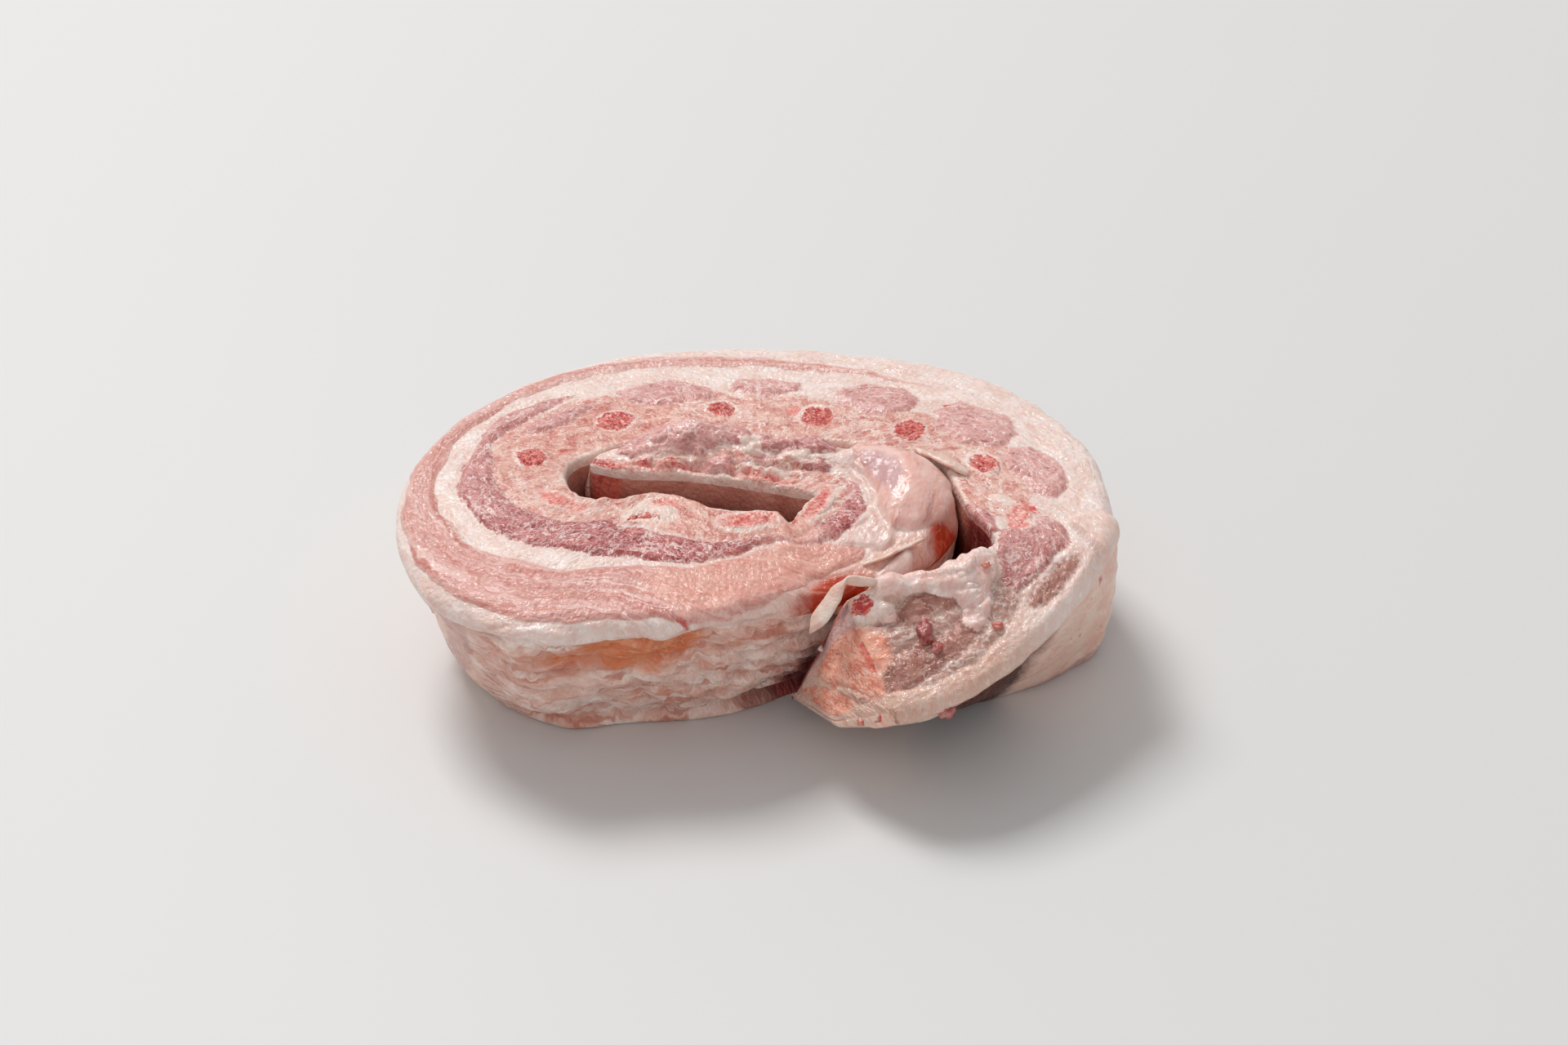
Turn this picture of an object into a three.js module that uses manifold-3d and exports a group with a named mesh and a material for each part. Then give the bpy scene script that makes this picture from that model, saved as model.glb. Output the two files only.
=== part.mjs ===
import * as THREE from 'three';
import { mergeVertices } from 'three/addons/utils/BufferGeometryUtils.js';
import Module from 'manifold-3d';

// Raw pork belly on the bone: one strip, cut across the ribs, standing on a cut face and rolled up.
// Millimetres, +Z up. Z = 0 is the surface that the strip stands on.
// A place in the meat has three numbers. u runs along the strip from station to station of the coil,
// from the outer end to the inner end. v runs across it, 0 on the rib side and 1 on the rind side.
// w runs up it, 0 on the lower cut face and 1 on the upper one.

const wasm = await Module();
wasm.setup();

// Driving dimensions
const fit = 0.3; // gap between pieces that lie against each other
const originX = -3.4; // middle of the coil, in the drawing of the stations
const originY = 6.4;
const bellyStart = 0.5; // the strip bellies out between its cut faces from this v to the rind
const rimDrop = 2.5; // the rind's soft upper edge rounds down by this much
const rimStart = 0.9; // and starts to round at this v
const stepsPerStation = 4;
const ends = [0, 1]; // the w of the rows of faces on a straight wall
const levels = [0, 1 / 3, 2 / 3, 1]; // and on one that bellies out
const ribSides = 14;
// Columns of faces across each layer, more where its upper face is lumpy or curved.
const fatColumns = 4;
const leanColumns = 3;
const thinLayerColumns = 2;
const brownMuscleColumns = 1;
const overCut = 0.08; // how far a cutter runs past both cut faces, in w
const endGap = 0.01; // room past the end of a layer, in u

// The coil seen from above: the rib side's x and y, then the rind side's, both on the upper face.
const coil = [
  [18, -42, 30, -71], // outer end, in front on the right
  [34, -38, 42, -69],
  [46, -35, 55, -61],
  [54, -28, 69, -46],
  [56, -20, 82, -28],
  [50, -7, 88, -9], // right
  [44, 14, 84.5, 26],
  [26, 22.5, 60, 63],
  [-1, 26, 8, 81], // back
  [-30, 27.5, -45, 77],
  [-50, 18, -82, 49],
  [-53.5, 8, -97, 8], // left
  [-47, -2, -89, -29],
  [-37, -3, -64, -53],
  [-27, -0.5, -42, -53.5], // front
  [-12, -8.5, -16, -51],
  [0.5, -8.5, 2, -42.5],
  [4.5, -12.5, 18, -36], // here the strip folds back on itself
  [7, -8, 37, -25],
  [9.5, -3, 46, -5],
  [11.5, 0.5, 41, 12],
  [7, 2.5, 26, 19.5],
  [-8, 6.5, -1, 23],
  [-24, 9, -22, 25.2],
  [-38, 10.8, -38, 22.2],
  [-48, 14.8, -46.5, 18.4], // inner end
];
const lastStation = coil.length - 1;

// Every profile below is a list of [u, value], joined by a smooth curve.
const ribSideTop = [[0, 42], [1, 44], [3, 46], [5, 47], [11, 47], [13, 48], [16, 47], [17, 46], [21, 46],
  [23, 47.5], [25, 47.5]];
const rindSideTop = [[0, 28], [1, 31], [2, 34], [3, 38], [4, 43], [5, 45], [8, 46], [11, 45], [12, 43],
  [15, 43], [17, 40], [18, 41], [19, 45], [21, 47], [23, 48], [25, 47.5]];
// The outer end leans out: its foot stands back from its upper edge by this much in x and in y.
const footBackX = [[0, -14], [1, -10], [2, -7], [3, -5], [4, -3], [5, 0], [25, 0]];
const footBackY = [[0, 6], [1, 11], [2, 12], [3, 12], [4, 9], [5, 3], [6, 0], [25, 0]];
// The rind side's foot is drawn in under the upper edge.
const footIn = [[0, 4], [1, 9], [2, 15], [3, 8], [4, 3], [6, 1], [9, 3], [10, 8], [11, 13], [12, 16],
  [14, 17], [16, 15], [18, 13], [19, 5], [21, 2], [25, 2]];
// How far the rind bellies out between the cut faces.
const sag = [[0, 1], [3, 2.5], [16, 2.5], [18, 1], [20, 0.5], [22, 0], [25, 0]];
// The outer end hangs clear of the surface, the rind side most.
const ribSideFoot = [[0, 7], [1, 1], [2, 0], [25, 0]];
const rindSideFoot = [[0, 18], [1, 9], [2, 1], [3, 0], [25, 0]];

// The layers, as the v where each one ends towards the rind.
const ribLayerEdge = [[0, 0.4], [2, 0.44], [4, 0.48], [5, 0.5], [6, 0.46], [8, 0.47], [10, 0.44], [11, 0.39],
  [12, 0.32], [13, 0.28], [14, 0.29], [16, 0.24], [17, 0.2], [18, 0.28], [20, 0.22], [21, 0.32], [22, 0.5],
  [25, 0.5]];
const innerLeanEdge = [[0, 0.68], [2, 0.7], [4, 0.77], [6, 0.8], [7, 0.68], [8, 0.6], [9, 0.68], [10, 0.7],
  [11, 0.66], [12, 0.58], [13, 0.49], [14, 0.5], [15, 0.46], [16, 0.42], [17, 0.45], [18, 0.55],
  [19, 0.47], [20, 0.43], [20.75, 0.55], [21.5, 0.82], [22.3, 1], [25, 1]];
const middleFatBreadth = [[7, 0.02], [8, 0.14], [9, 0.105], [10, 0.075], [12, 0.08], [13, 0.07], [14, 0.06],
  [15, 0.01], [15.3, 0], [25, 0]];
const outerLeanEdge = [[7, 0.72], [7.5, 0.85], [8, 0.895], [9, 0.96], [10, 0.95], [11, 0.925], [12, 0.92],
  [13, 0.89], [14, 0.9], [15, 0.93], [16, 0.93], [17, 0.85], [17.8, 0.66]];
const foldMuscleEdge = [[17, 0.8], [18.5, 0.85], [19.1, 0.95], [19.5, 1], [25, 1]];
// The stretch of each layer that doesn't run from end to end.
const outerLeanReach = [7.25, 17.5];
const rindFatEnd = 17.25;
const foldMuscleReach = [17.52, 21.5];
const brownMuscleReach = [17.27, 19];

// Ribs, sawn across: place along and across the strip, then half the length along it and half the breadth.
const ribs = [
  { u: 0.3, v: 0.16, length: 2.8, breadth: 3.8 },
  { u: 2.05, v: 0.23, length: 4, breadth: 4.6 },
  { u: 4.78, v: 0.34, length: 6, breadth: 4.2 },
  { u: 5.8, v: 0.27, length: 7, breadth: 4.2 },
  { u: 6.88, v: 0.25, length: 5.5, breadth: 5.5 },
  { u: 7.7, v: 0.3, length: 5.5, breadth: 6 },
  { u: 8.4, v: 0.3, length: 5, breadth: 4.3 },
  { u: 9.25, v: 0.26, length: 6, breadth: 5.5 },
  { u: 10.38, v: 0.25, length: 5.5, breadth: 5.5 },
  { u: 11.75, v: 0.15, length: 6, breadth: 4.5 },
  { u: 13.95, v: 0.16, length: 7, breadth: 4.5 },
  { u: 15.48, v: 0.13, length: 8.5, breadth: 3.4 },
  { u: 18.8, v: 0.14, length: 7.5, breadth: 2.8 },
  { u: 21.75, v: 0.25, length: 10, breadth: 2 },
  { u: 23.4, v: 0.25, length: 11, breadth: 1.8 },
];

// Lumps that stand up out of the upper face: place, half reach along and across, and height.
const lumps = [
  { u: 22.9, v: 0.75, reachU: 0.85, reachV: 0.45, height: 7 },
  { u: 21.6, v: 0.7, reachU: 0.5, reachV: 0.35, height: 3 },
  { u: 19.5, v: 0.75, reachU: 1.3, reachV: 0.25, height: 3.5 },
  { u: 2.2, v: 0.1, reachU: 1, reachV: 0.16, height: 4 },
  { u: 0.6, v: 0.06, reachU: 0.4, reachV: 0.12, height: 3.5 },
];

// The strip of fat that curls over the outer end: its route, the way its breadth lies, and its size.
const curl = {
  route: [[21, -41.5, 44.5], [12, -44, 49], [9, -46.5, 35]],
  side: [0.62, -0.08, -0.78],
  breadth: 6,
  thickness: 2.2,
  taper: 0.5,
  steps: 6,
};

// A smooth curve through [u, value] pairs, with the slope at each pair that its neighbours give.
function along(keys, u) {
  let k = 0;
  while (k < keys.length - 2 && u > keys[k + 1][0]) {
    k += 1;
  }
  const slope = (i) => {
    const before = keys[Math.max(i - 1, 0)];
    const after = keys[Math.min(i + 1, keys.length - 1)];
    return (after[1] - before[1]) / (after[0] - before[0]);
  };
  const [start, startValue] = keys[k];
  const [end, endValue] = keys[k + 1];
  const span = end - start;
  const f = (u - start) / span;
  const rest = 1 - f;
  return startValue * rest * rest * (1 + 2 * f)
    + endValue * f * f * (3 - 2 * f)
    + span * f * rest * (slope(k) * rest - slope(k + 1) * f);
}

const coilColumns = [0, 1, 2, 3].map((column) => coil.map((row, station) => [station, row[column]]));

// The four corners of the strip's section at u.
function sectionAt(u) {
  const [ribX, ribY, rindX, rindY] = coilColumns.map((keys) => along(keys, u));
  const ribTop = new THREE.Vector3(ribX, ribY, along(ribSideTop, u));
  const rindTop = new THREE.Vector3(rindX, rindY, along(rindSideTop, u));
  const outward = new THREE.Vector3(rindX - ribX, rindY - ribY, 0).normalize();
  const back = new THREE.Vector3(along(footBackX, u), along(footBackY, u), 0);
  const ribFoot = ribTop.clone().add(back).setZ(Math.max(along(ribSideFoot, u), 0));
  const rindFoot = rindTop.clone().add(back).addScaledVector(outward, -along(footIn, u));
  rindFoot.setZ(Math.max(along(rindSideFoot, u), 0));
  return { ribTop, rindTop, ribFoot, rindFoot, outward, thickness: rindTop.distanceTo(ribTop) };
}

function lumpHeight(u, v) {
  return lumps.reduce((sum, lump) => {
    const du = (u - lump.u) / lump.reachU;
    const dv = (v - lump.v) / lump.reachV;
    return sum + lump.height * Math.exp(-(du * du + dv * dv));
  }, 0);
}

// The point of the meat at u, v, w, in millimetres.
function place(u, v, w) {
  const { ribTop, rindTop, ribFoot, rindFoot, outward } = sectionAt(u);
  const top = ribTop.lerp(rindTop, v);
  const rim = Math.max(v - rimStart, 0) / (1 - rimStart);
  top.z += lumpHeight(u, v) - rimDrop * rim * rim;
  const depth = Math.max(v - bellyStart, 0) / (1 - bellyStart);
  const belly = along(sag, u) * 4 * w * (1 - w) * depth * depth;
  return ribFoot.lerp(rindFoot, v).lerp(top, w).addScaledVector(outward, belly);
}

// Moves every vertex of a shape by a rule and makes a solid of it.
function shaped(geometry, rule) {
  geometry.deleteAttribute('normal');
  geometry.deleteAttribute('uv');
  const merged = mergeVertices(geometry);
  const { position } = merged.attributes;
  for (let i = 0; i < position.count; i += 1) {
    const point = rule(position.getX(i), position.getY(i), position.getZ(i));
    position.setXYZ(i, point.x, point.y, point.z);
  }
  return new wasm.Manifold(new wasm.Mesh({
    numProp: 3,
    vertProperties: position.array,
    triVerts: Uint32Array.from(merged.index.array),
  }));
}

// The v of a layer's edge, moved across the strip by a gap in millimetres.
function edge(keys, gap) {
  return (u) => along(keys, u) + gap / sectionAt(u).thickness;
}

// Both ends of a stretch and the steps between them, which all layers share so that their faces match.
function stepsBetween(from, to) {
  const first = Math.floor(from * stepsPerStation) + 1;
  const last = Math.ceil(to * stepsPerStation) - 1;
  const inner = Array.from({ length: last - first + 1 }, (_, k) => (first + k) / stepsPerStation);
  return [from, ...inner, to];
}

// Rows of faces for a cutter, which runs past both cut faces.
function pastEnds(rows) {
  return [-overCut, ...rows, 1 + overCut];
}

// The entry of a list that a coordinate from -0.5 to 0.5 falls on.
function pick(list, coordinate) {
  return list[Math.round((coordinate + 0.5) * (list.length - 1))];
}

// A layer of the strip: a box bent along the coil, between an edge on the rib side and one on the rind side.
function layer({ from, to, ribEdge, rindEdge, columns = thinLayerColumns, rows = levels }) {
  const steps = stepsBetween(from, to);
  const box = new THREE.BoxGeometry(1, 1, 1, steps.length - 1, columns, rows.length - 1);
  return shaped(box, (x, y, z) => {
    const u = pick(steps, x);
    return place(u, THREE.MathUtils.lerp(ribEdge(u), rindEdge(u), 0.5 - y), pick(rows, z));
  });
}

// A rib's oval prism, from one cut face to the other.
function ribPrism(rib, grow, rows) {
  const stationLength = place(rib.u - 0.5, rib.v, 1).distanceTo(place(rib.u + 0.5, rib.v, 1));
  const { thickness } = sectionAt(rib.u);
  return shaped(new THREE.CylinderGeometry(1, 1, 1, ribSides, rows.length - 1), (x, y, z) => place(
    rib.u - z * (rib.length + grow) / stationLength,
    rib.v + x * (rib.breadth + grow) / thickness,
    pick(rows, y),
  ));
}

// The thin strip of fat that curls over the corner of the outer end.
function curledStrip() {
  const route = new THREE.QuadraticBezierCurve3(...curl.route.map((point) => new THREE.Vector3(...point)));
  const side = new THREE.Vector3(...curl.side).normalize();
  return shaped(new THREE.BoxGeometry(1, 1, 1, curl.steps, 1, 1), (x, y, z) => {
    const t = x + 0.5;
    const facing = route.getTangent(t).cross(side).normalize();
    const taper = 1 - curl.taper * t;
    return route.getPoint(t)
      .addScaledVector(side, y * curl.breadth * taper)
      .addScaledVector(facing, z * curl.thickness * taper);
  });
}

const ribFace = () => 0;
const rindFace = () => 1;
const outerLeanStart = (gap) => (u) => (
  along(innerLeanEdge, u) + along(middleFatBreadth, u) + gap / sectionAt(u).thickness
);

function makeFat() {
  const whole = layer({ from: 0, to: rindFatEnd, ribEdge: edge(innerLeanEdge, fit / 2), rindEdge: rindFace,
    columns: fatColumns });
  const [from, to] = outerLeanReach;
  const bed = layer({ from: from - endGap, to: to + endGap, ribEdge: outerLeanStart(-fit / 2),
    rindEdge: edge(outerLeanEdge, fit / 2), rows: pastEnds(levels) });
  return whole.subtract(bed);
}

function makeOuterLean() {
  const [from, to] = outerLeanReach;
  return layer({ from, to, ribEdge: outerLeanStart(fit / 2), rindEdge: edge(outerLeanEdge, -fit / 2) });
}

function makeInnerLean() {
  return layer({ from: 0, to: lastStation, ribEdge: edge(ribLayerEdge, fit / 2),
    rindEdge: edge(innerLeanEdge, -fit / 2), columns: leanColumns });
}

function makeRibMeat() {
  const whole = layer({ from: 0, to: lastStation, ribEdge: ribFace, rindEdge: edge(ribLayerEdge, -fit / 2),
    rows: ends });
  return ribs.reduce((meat, rib) => meat.subtract(ribPrism(rib, fit, pastEnds(ends))), whole.add(curledStrip()));
}

function makeFoldMuscle() {
  const [from, to] = foldMuscleReach;
  return layer({ from, to, ribEdge: edge(innerLeanEdge, fit / 2), rindEdge: edge(foldMuscleEdge, -fit / 2),
    columns: leanColumns });
}

function makeBrownMuscle() {
  const [from, to] = brownMuscleReach;
  return layer({ from, to, ribEdge: edge(foldMuscleEdge, fit / 2), rindEdge: rindFace,
    columns: brownMuscleColumns });
}

const fatFinish = new THREE.MeshStandardMaterial({ color: 0xecd6c9, roughness: 0.45 });
const paleLeanFinish = new THREE.MeshStandardMaterial({ color: 0xd99c8d, roughness: 0.4 });
const darkLeanFinish = new THREE.MeshStandardMaterial({ color: 0xbb7c7d, roughness: 0.4 });
const ribMeatFinish = new THREE.MeshStandardMaterial({ color: 0xdcae9b, roughness: 0.45 });
const foldMuscleFinish = new THREE.MeshStandardMaterial({ color: 0xdca9a5, roughness: 0.3 });
const brownMuscleFinish = new THREE.MeshStandardMaterial({ color: 0xb9705a, roughness: 0.35 });
const marrowFinish = new THREE.MeshStandardMaterial({ color: 0xc8615c, roughness: 0.6 });

const group = new THREE.Group();

// Puts a solid in the group as a named mesh, moved so that the origin is under the middle of the coil.
function addPiece(name, solid, material) {
  const { vertProperties, triVerts } = solid.getMesh();
  const geometry = new THREE.BufferGeometry();
  geometry.setAttribute('position', new THREE.BufferAttribute(vertProperties, 3));
  geometry.setIndex(new THREE.BufferAttribute(triVerts, 1));
  const mesh = new THREE.Mesh(geometry, material);
  mesh.name = name;
  mesh.position.set(-originX, -originY, 0);
  group.add(mesh);
}

addPiece('fat', makeFat(), fatFinish);
addPiece('outer_lean', makeOuterLean(), paleLeanFinish);
addPiece('inner_lean', makeInnerLean(), darkLeanFinish);
addPiece('rib_meat', makeRibMeat(), ribMeatFinish);
addPiece('fold_muscle', makeFoldMuscle(), foldMuscleFinish);
addPiece('brown_muscle', makeBrownMuscle(), brownMuscleFinish);
ribs.forEach((rib, index) => {
  addPiece(`rib_${String(index + 1).padStart(2, '0')}`, ribPrism(rib, 0, ends), marrowFinish);
});

export default group;
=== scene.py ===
import math

import bpy
import numpy as np
from mathutils import Matrix, Vector


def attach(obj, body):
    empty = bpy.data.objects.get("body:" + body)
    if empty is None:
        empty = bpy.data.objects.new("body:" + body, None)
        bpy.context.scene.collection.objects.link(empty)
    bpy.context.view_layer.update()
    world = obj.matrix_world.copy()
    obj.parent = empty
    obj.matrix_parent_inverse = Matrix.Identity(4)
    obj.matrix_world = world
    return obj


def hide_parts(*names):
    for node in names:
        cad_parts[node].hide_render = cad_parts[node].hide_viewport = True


# Raw pork belly on the bone: one strip cut across the ribs, standing on a cut face and rolled up.
# Sizes are in mm until a mesh is made. A place in the meat is u along the strip, v across it from the
# rib side to the rind side, and w up it from the lower cut face to the upper one.

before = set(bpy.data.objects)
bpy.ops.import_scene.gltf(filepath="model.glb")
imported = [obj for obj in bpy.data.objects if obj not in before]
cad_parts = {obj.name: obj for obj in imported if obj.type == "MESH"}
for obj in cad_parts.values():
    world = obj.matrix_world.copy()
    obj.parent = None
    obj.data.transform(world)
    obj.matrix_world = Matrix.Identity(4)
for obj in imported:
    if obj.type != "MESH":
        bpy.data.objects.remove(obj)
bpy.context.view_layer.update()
print("frame loaded")

mm = 0.001
rng = np.random.default_rng(11)
noiseCells = 256  # cells after which the noise repeats, a power of 2
noiseWrap = noiseCells - 1
seedShift = 7.31  # cells from one seed's noise to the next one's
noiseGain = 1.6  # brings the noise to about -1 to 1


def unit(vectors):  # the same directions, each of length 1
    return vectors / np.linalg.norm(vectors, axis=-1, keepdims=True)


def turns(count):  # that many angles, evenly round a circle
    return np.linspace(0, 2 * np.pi, count, endpoint=False)


noiseSlopes = unit(rng.normal(size=(noiseCells, 3)))
noiseOrder = rng.permutation(noiseCells)


def smooth(low, high, value):  # 0 below low, 1 above high, an S curve between them
    t = np.clip((value - low) / (high - low), 0, 1)
    return t * t * (3 - 2 * t)


def noiseAt(points, size, seed):
    # lattice noise: each corner of a cell of that size has a random slope, and a point blends what the
    # slopes of its cell's eight corners give there
    p = points / np.asarray(size, float) + seed * seedShift
    cell = np.floor(p).astype(int)
    f = p - cell
    s = f * f * f * (f * (f * 6 - 15) + 10)
    total = np.zeros(p.shape[:-1])
    for corner in np.ndindex(2, 2, 2):
        c = np.array(corner)
        x, y, z = np.moveaxis((cell + c) & noiseWrap, -1, 0)
        drawn = noiseOrder[(noiseOrder[x] + y) & noiseWrap]
        slope = noiseSlopes[noiseOrder[(drawn + z) & noiseWrap]]
        total += np.prod(np.where(c, s, 1 - s), axis=-1) * ((f - c) * slope).sum(-1)
    return total * noiseGain


def fractalAt(points, size, octaves, seed):  # each octave has half the size and half the height
    size = np.asarray(size, float)
    return sum(noiseAt(points, size / 2**k, seed + k) / 2**k for k in range(octaves))


def creasesAt(points, size, seed):  # 1 on thin lines and 0 between them
    return 1 - np.clip(np.abs(noiseAt(points, size, seed)) * 3, 0, 1)


# The strip's form. The profiles are lists of [u, value].
strip = {
    "origin": (-3.4, 6.4),
    "coil": [  # rib side x, y, rind side x, y
        [18, -42, 30, -71], [34, -38, 42, -69], [46, -35, 55, -61], [54, -28, 69, -46],
        [56, -20, 82, -28], [50, -7, 88, -9], [44, 14, 84.5, 26], [26, 22.5, 60, 63], [-1, 26, 8, 81],
        [-30, 27.5, -45, 77], [-50, 18, -82, 49], [-53.5, 8, -97, 8], [-47, -2, -89, -29],
        [-37, -3, -64, -53], [-27, -0.5, -42, -53.5], [-12, -8.5, -16, -51], [0.5, -8.5, 2, -42.5],
        [4.5, -12.5, 18, -36], [7, -8, 37, -25], [9.5, -3, 46, -5], [11.5, 0.5, 41, 12],
        [7, 2.5, 26, 19.5], [-8, 6.5, -1, 23], [-24, 9, -22, 25.2], [-38, 10.8, -38, 22.2],
        [-48, 14.8, -46.5, 18.4],
    ],
    "ribSideTop": [
        [0, 42], [1, 44], [3, 46], [5, 47], [11, 47], [13, 48], [16, 47], [17, 46], [21, 46],
        [23, 47.5], [25, 47.5],
    ],
    "rindSideTop": [
        [0, 28], [1, 31], [2, 34], [3, 38], [4, 43], [5, 45], [8, 46], [11, 45], [12, 43], [15, 43],
        [17, 40], [18, 41], [19, 45], [21, 47], [23, 48], [25, 47.5],
    ],
    "footBackX": [[0, -14], [1, -10], [2, -7], [3, -5], [4, -3], [5, 0], [25, 0]],
    "footBackY": [[0, 6], [1, 11], [2, 12], [3, 12], [4, 9], [5, 3], [6, 0], [25, 0]],
    "footIn": [
        [0, 4], [1, 9], [2, 15], [3, 8], [4, 3], [6, 1], [9, 3], [10, 8], [11, 13], [12, 16], [14, 17],
        [16, 15], [18, 13], [19, 5], [21, 2], [25, 2],
    ],
    "sag": [[0, 1], [3, 2.5], [16, 2.5], [18, 1], [20, 0.5], [22, 0], [25, 0]],
    "ribSideFoot": [[0, 7], [1, 1], [2, 0], [25, 0]],
    "rindSideFoot": [[0, 18], [1, 9], [2, 1], [3, 0], [25, 0]],
    "rimDrop": 2.5,
    "lumps": [  # u, v, reach along and across, height
        (22.9, 0.75, 0.85, 0.45, 7), (21.6, 0.7, 0.5, 0.35, 3), (19.5, 0.75, 1.3, 0.25, 3.5),
        (2.2, 0.1, 1, 0.16, 4), (0.6, 0.06, 0.4, 0.12, 3.5),
    ],
}
lastStation = len(strip["coil"]) - 1

def along(keys, u):
    # a smooth curve through [u, value] pairs, whose slope at a pair is that of its two neighbours
    x, y = np.asarray(keys, float).T
    slope = np.empty(len(x))
    slope[1:-1] = (y[2:] - y[:-2]) / (x[2:] - x[:-2])
    slope[0] = (y[1] - y[0]) / (x[1] - x[0])
    slope[-1] = (y[-1] - y[-2]) / (x[-1] - x[-2])
    i = np.searchsorted(x[1:-1], u, side="left")
    span = x[i + 1] - x[i]
    f = (u - x[i]) / span
    r = 1 - f
    ends = y[i] * r * r * (1 + 2 * f) + y[i + 1] * f * f * (3 - 2 * f)
    return ends + span * f * r * (slope[i] * r - slope[i + 1] * f)


coilColumns = [[[k, row[c]] for k, row in enumerate(strip["coil"])] for c in range(4)]


def sectionAt(u):  # the four corners of the section at u, and the level direction out to the rind
    ribX, ribY, rindX, rindY = (along(keys, u) for keys in coilColumns)
    ribTop = np.stack([ribX, ribY, along(strip["ribSideTop"], u)], -1)
    rindTop = np.stack([rindX, rindY, along(strip["rindSideTop"], u)], -1)
    outward = unit((rindTop - ribTop) * [1, 1, 0])
    back = np.stack([along(strip["footBackX"], u), along(strip["footBackY"], u), 0 * u], -1)
    ribFoot = ribTop + back
    ribFoot[..., 2] = np.maximum(along(strip["ribSideFoot"], u), 0)
    rindFoot = rindTop + back - outward * along(strip["footIn"], u)[..., None]
    rindFoot[..., 2] = np.maximum(along(strip["rindSideFoot"], u), 0)
    return ribTop, rindTop, ribFoot, rindFoot, outward


def thicknessAt(u):
    ribTop, rindTop, *_ = sectionAt(np.asarray(u, float))
    return np.linalg.norm(rindTop - ribTop, axis=-1)


def placeAt(u, v, w):
    # a straight line from the lower face to the upper one; lumps are added to the upper face, its rim
    # drops over the last tenth of v, and the rind side bellies out by a parabola in w
    u, v, w = np.broadcast_arrays(*(np.asarray(x, float) for x in (u, v, w)))
    ribTop, rindTop, ribFoot, rindFoot, outward = sectionAt(u)
    top = ribTop + (rindTop - ribTop) * v[..., None]
    for lumpU, lumpV, reachU, reachV, height in strip["lumps"]:
        top[..., 2] += height * np.exp(-(((u - lumpU) / reachU) ** 2) - ((v - lumpV) / reachV) ** 2)
    top[..., 2] -= strip["rimDrop"] * (np.maximum(v - 0.9, 0) / 0.1) ** 2
    foot = ribFoot + (rindFoot - ribFoot) * v[..., None]
    belly = along(strip["sag"], u) * 4 * w * (1 - w) * (np.maximum(v - 0.5, 0) / 0.5) ** 2
    point = foot + (top - foot) * w[..., None] + outward * belly[..., None]
    point[..., :2] -= strip["origin"]
    return point


# Distance along the strip, in mm, for patterns that follow it.
stationSamples = np.linspace(0, lastStation, 2501)
midLine = placeAt(stationSamples, 0.6, 1.0)[:, :2]
midLengths = np.concatenate([[0], np.cumsum(np.linalg.norm(np.diff(midLine, axis=0), axis=1))])


def lengthAt(u):
    return np.interp(u, stationSamples, midLengths)


sectionHeight = 45  # mm, near enough everywhere to turn w into a distance

ribs = {
    "sides": 40,
    "rings": 8,
    "fillRings": 14,  # of each flat end
    "raised": 0.3,  # mm, of the middle of the sawn end above the cut face
    "sunk": 0.9,  # mm, from there down to its edge
    "endClearance": 0.06,  # u and v that a rib keeps from the ends and the rib side of the strip
    "sideClearance": 0.03,
    "list": [  # u, v, half length along the strip and half breadth across it
        (0.3, 0.16, 2.8, 3.8), (2.05, 0.23, 4, 4.6), (4.78, 0.34, 6, 4.2), (5.8, 0.27, 7, 4.2),
        (6.88, 0.25, 5.5, 5.5), (7.7, 0.3, 5.5, 6), (8.4, 0.3, 5, 4.3), (9.25, 0.26, 6, 5.5),
        (10.38, 0.25, 5.5, 5.5), (11.75, 0.15, 6, 4.5), (13.95, 0.16, 7, 4.5), (15.48, 0.13, 8.5, 3.4),
        (18.8, 0.14, 7.5, 2.8), (21.75, 0.25, 10, 2), (23.4, 0.25, 11, 1.8),
    ],
}

# The edges of the long layers on the cut face, as [u, v] towards the rib side and towards the rind.
bands = {
    "ribMeat": (
        [[0, -0.1], [25, -0.1]],
        [[4.4, -0.1], [4.8, 0.3], [5.2, 0.45], [6, 0.5], [7, 0.42], [8, 0.45], [9, 0.5], [9.6, 0.58],
         [10.2, 0.6], [10.6, 0.5], [11, 0.43], [12, 0.28], [13, 0.21], [14, 0.28], [15, 0.31],
         [16, 0.28], [17, 0.25], [18, 0.23], [19.6, 0.29], [20.5, 0.33], [21, 0.4], [22, 0.55],
         [22.6, 0.4], [25, 0.45]]),
    "dark": (
        [[10.1, 0.67], [10.6, 0.5], [11, 0.42], [11.5, 0.34], [12, 0.27], [13, 0.2], [13.5, 0.25],
         [14.4, 0.33], [15, 0.3], [16, 0.27], [17, 0.24], [18, 0.22], [19, 0.24], [20.5, 0.32],
         [20.9, 0.4]],
        [[10.1, 0.66], [10.6, 0.68], [11.2, 0.62], [12, 0.52], [12.5, 0.46], [13, 0.44], [14, 0.5],
         [14.7, 0.51], [15.2, 0.46], [15.7, 0.4], [16.3, 0.35], [17, 0.35], [17.5, 0.38],
         [18, 0.43], [18.4, 0.48], [18.8, 0.44], [19.3, 0.39], [20, 0.37], [20.9, 0.37]]),
    "pale": (
        [[7.0, 0.72], [8, 0.71], [9, 0.78], [10, 0.83], [11, 0.77], [12, 0.66], [12.5, 0.6],
         [13, 0.56], [14, 0.56], [14.7, 0.55], [15.2, 0.5], [16, 0.42], [16.6, 0.35], [17, 0.33],
         [17.4, 0.38], [17.8, 0.62]],
        [[7.0, 0.71], [8, 0.8], [8.6, 0.86], [9.4, 0.93], [10, 0.965], [11, 0.965], [12, 0.94],
         [13, 0.93], [14, 0.94], [15, 0.97], [15.6, 0.98], [16.1, 0.93], [16.6, 0.82],
         [17.2, 0.74], [17.6, 0.7], [17.8, 0.6]]),
}

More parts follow.
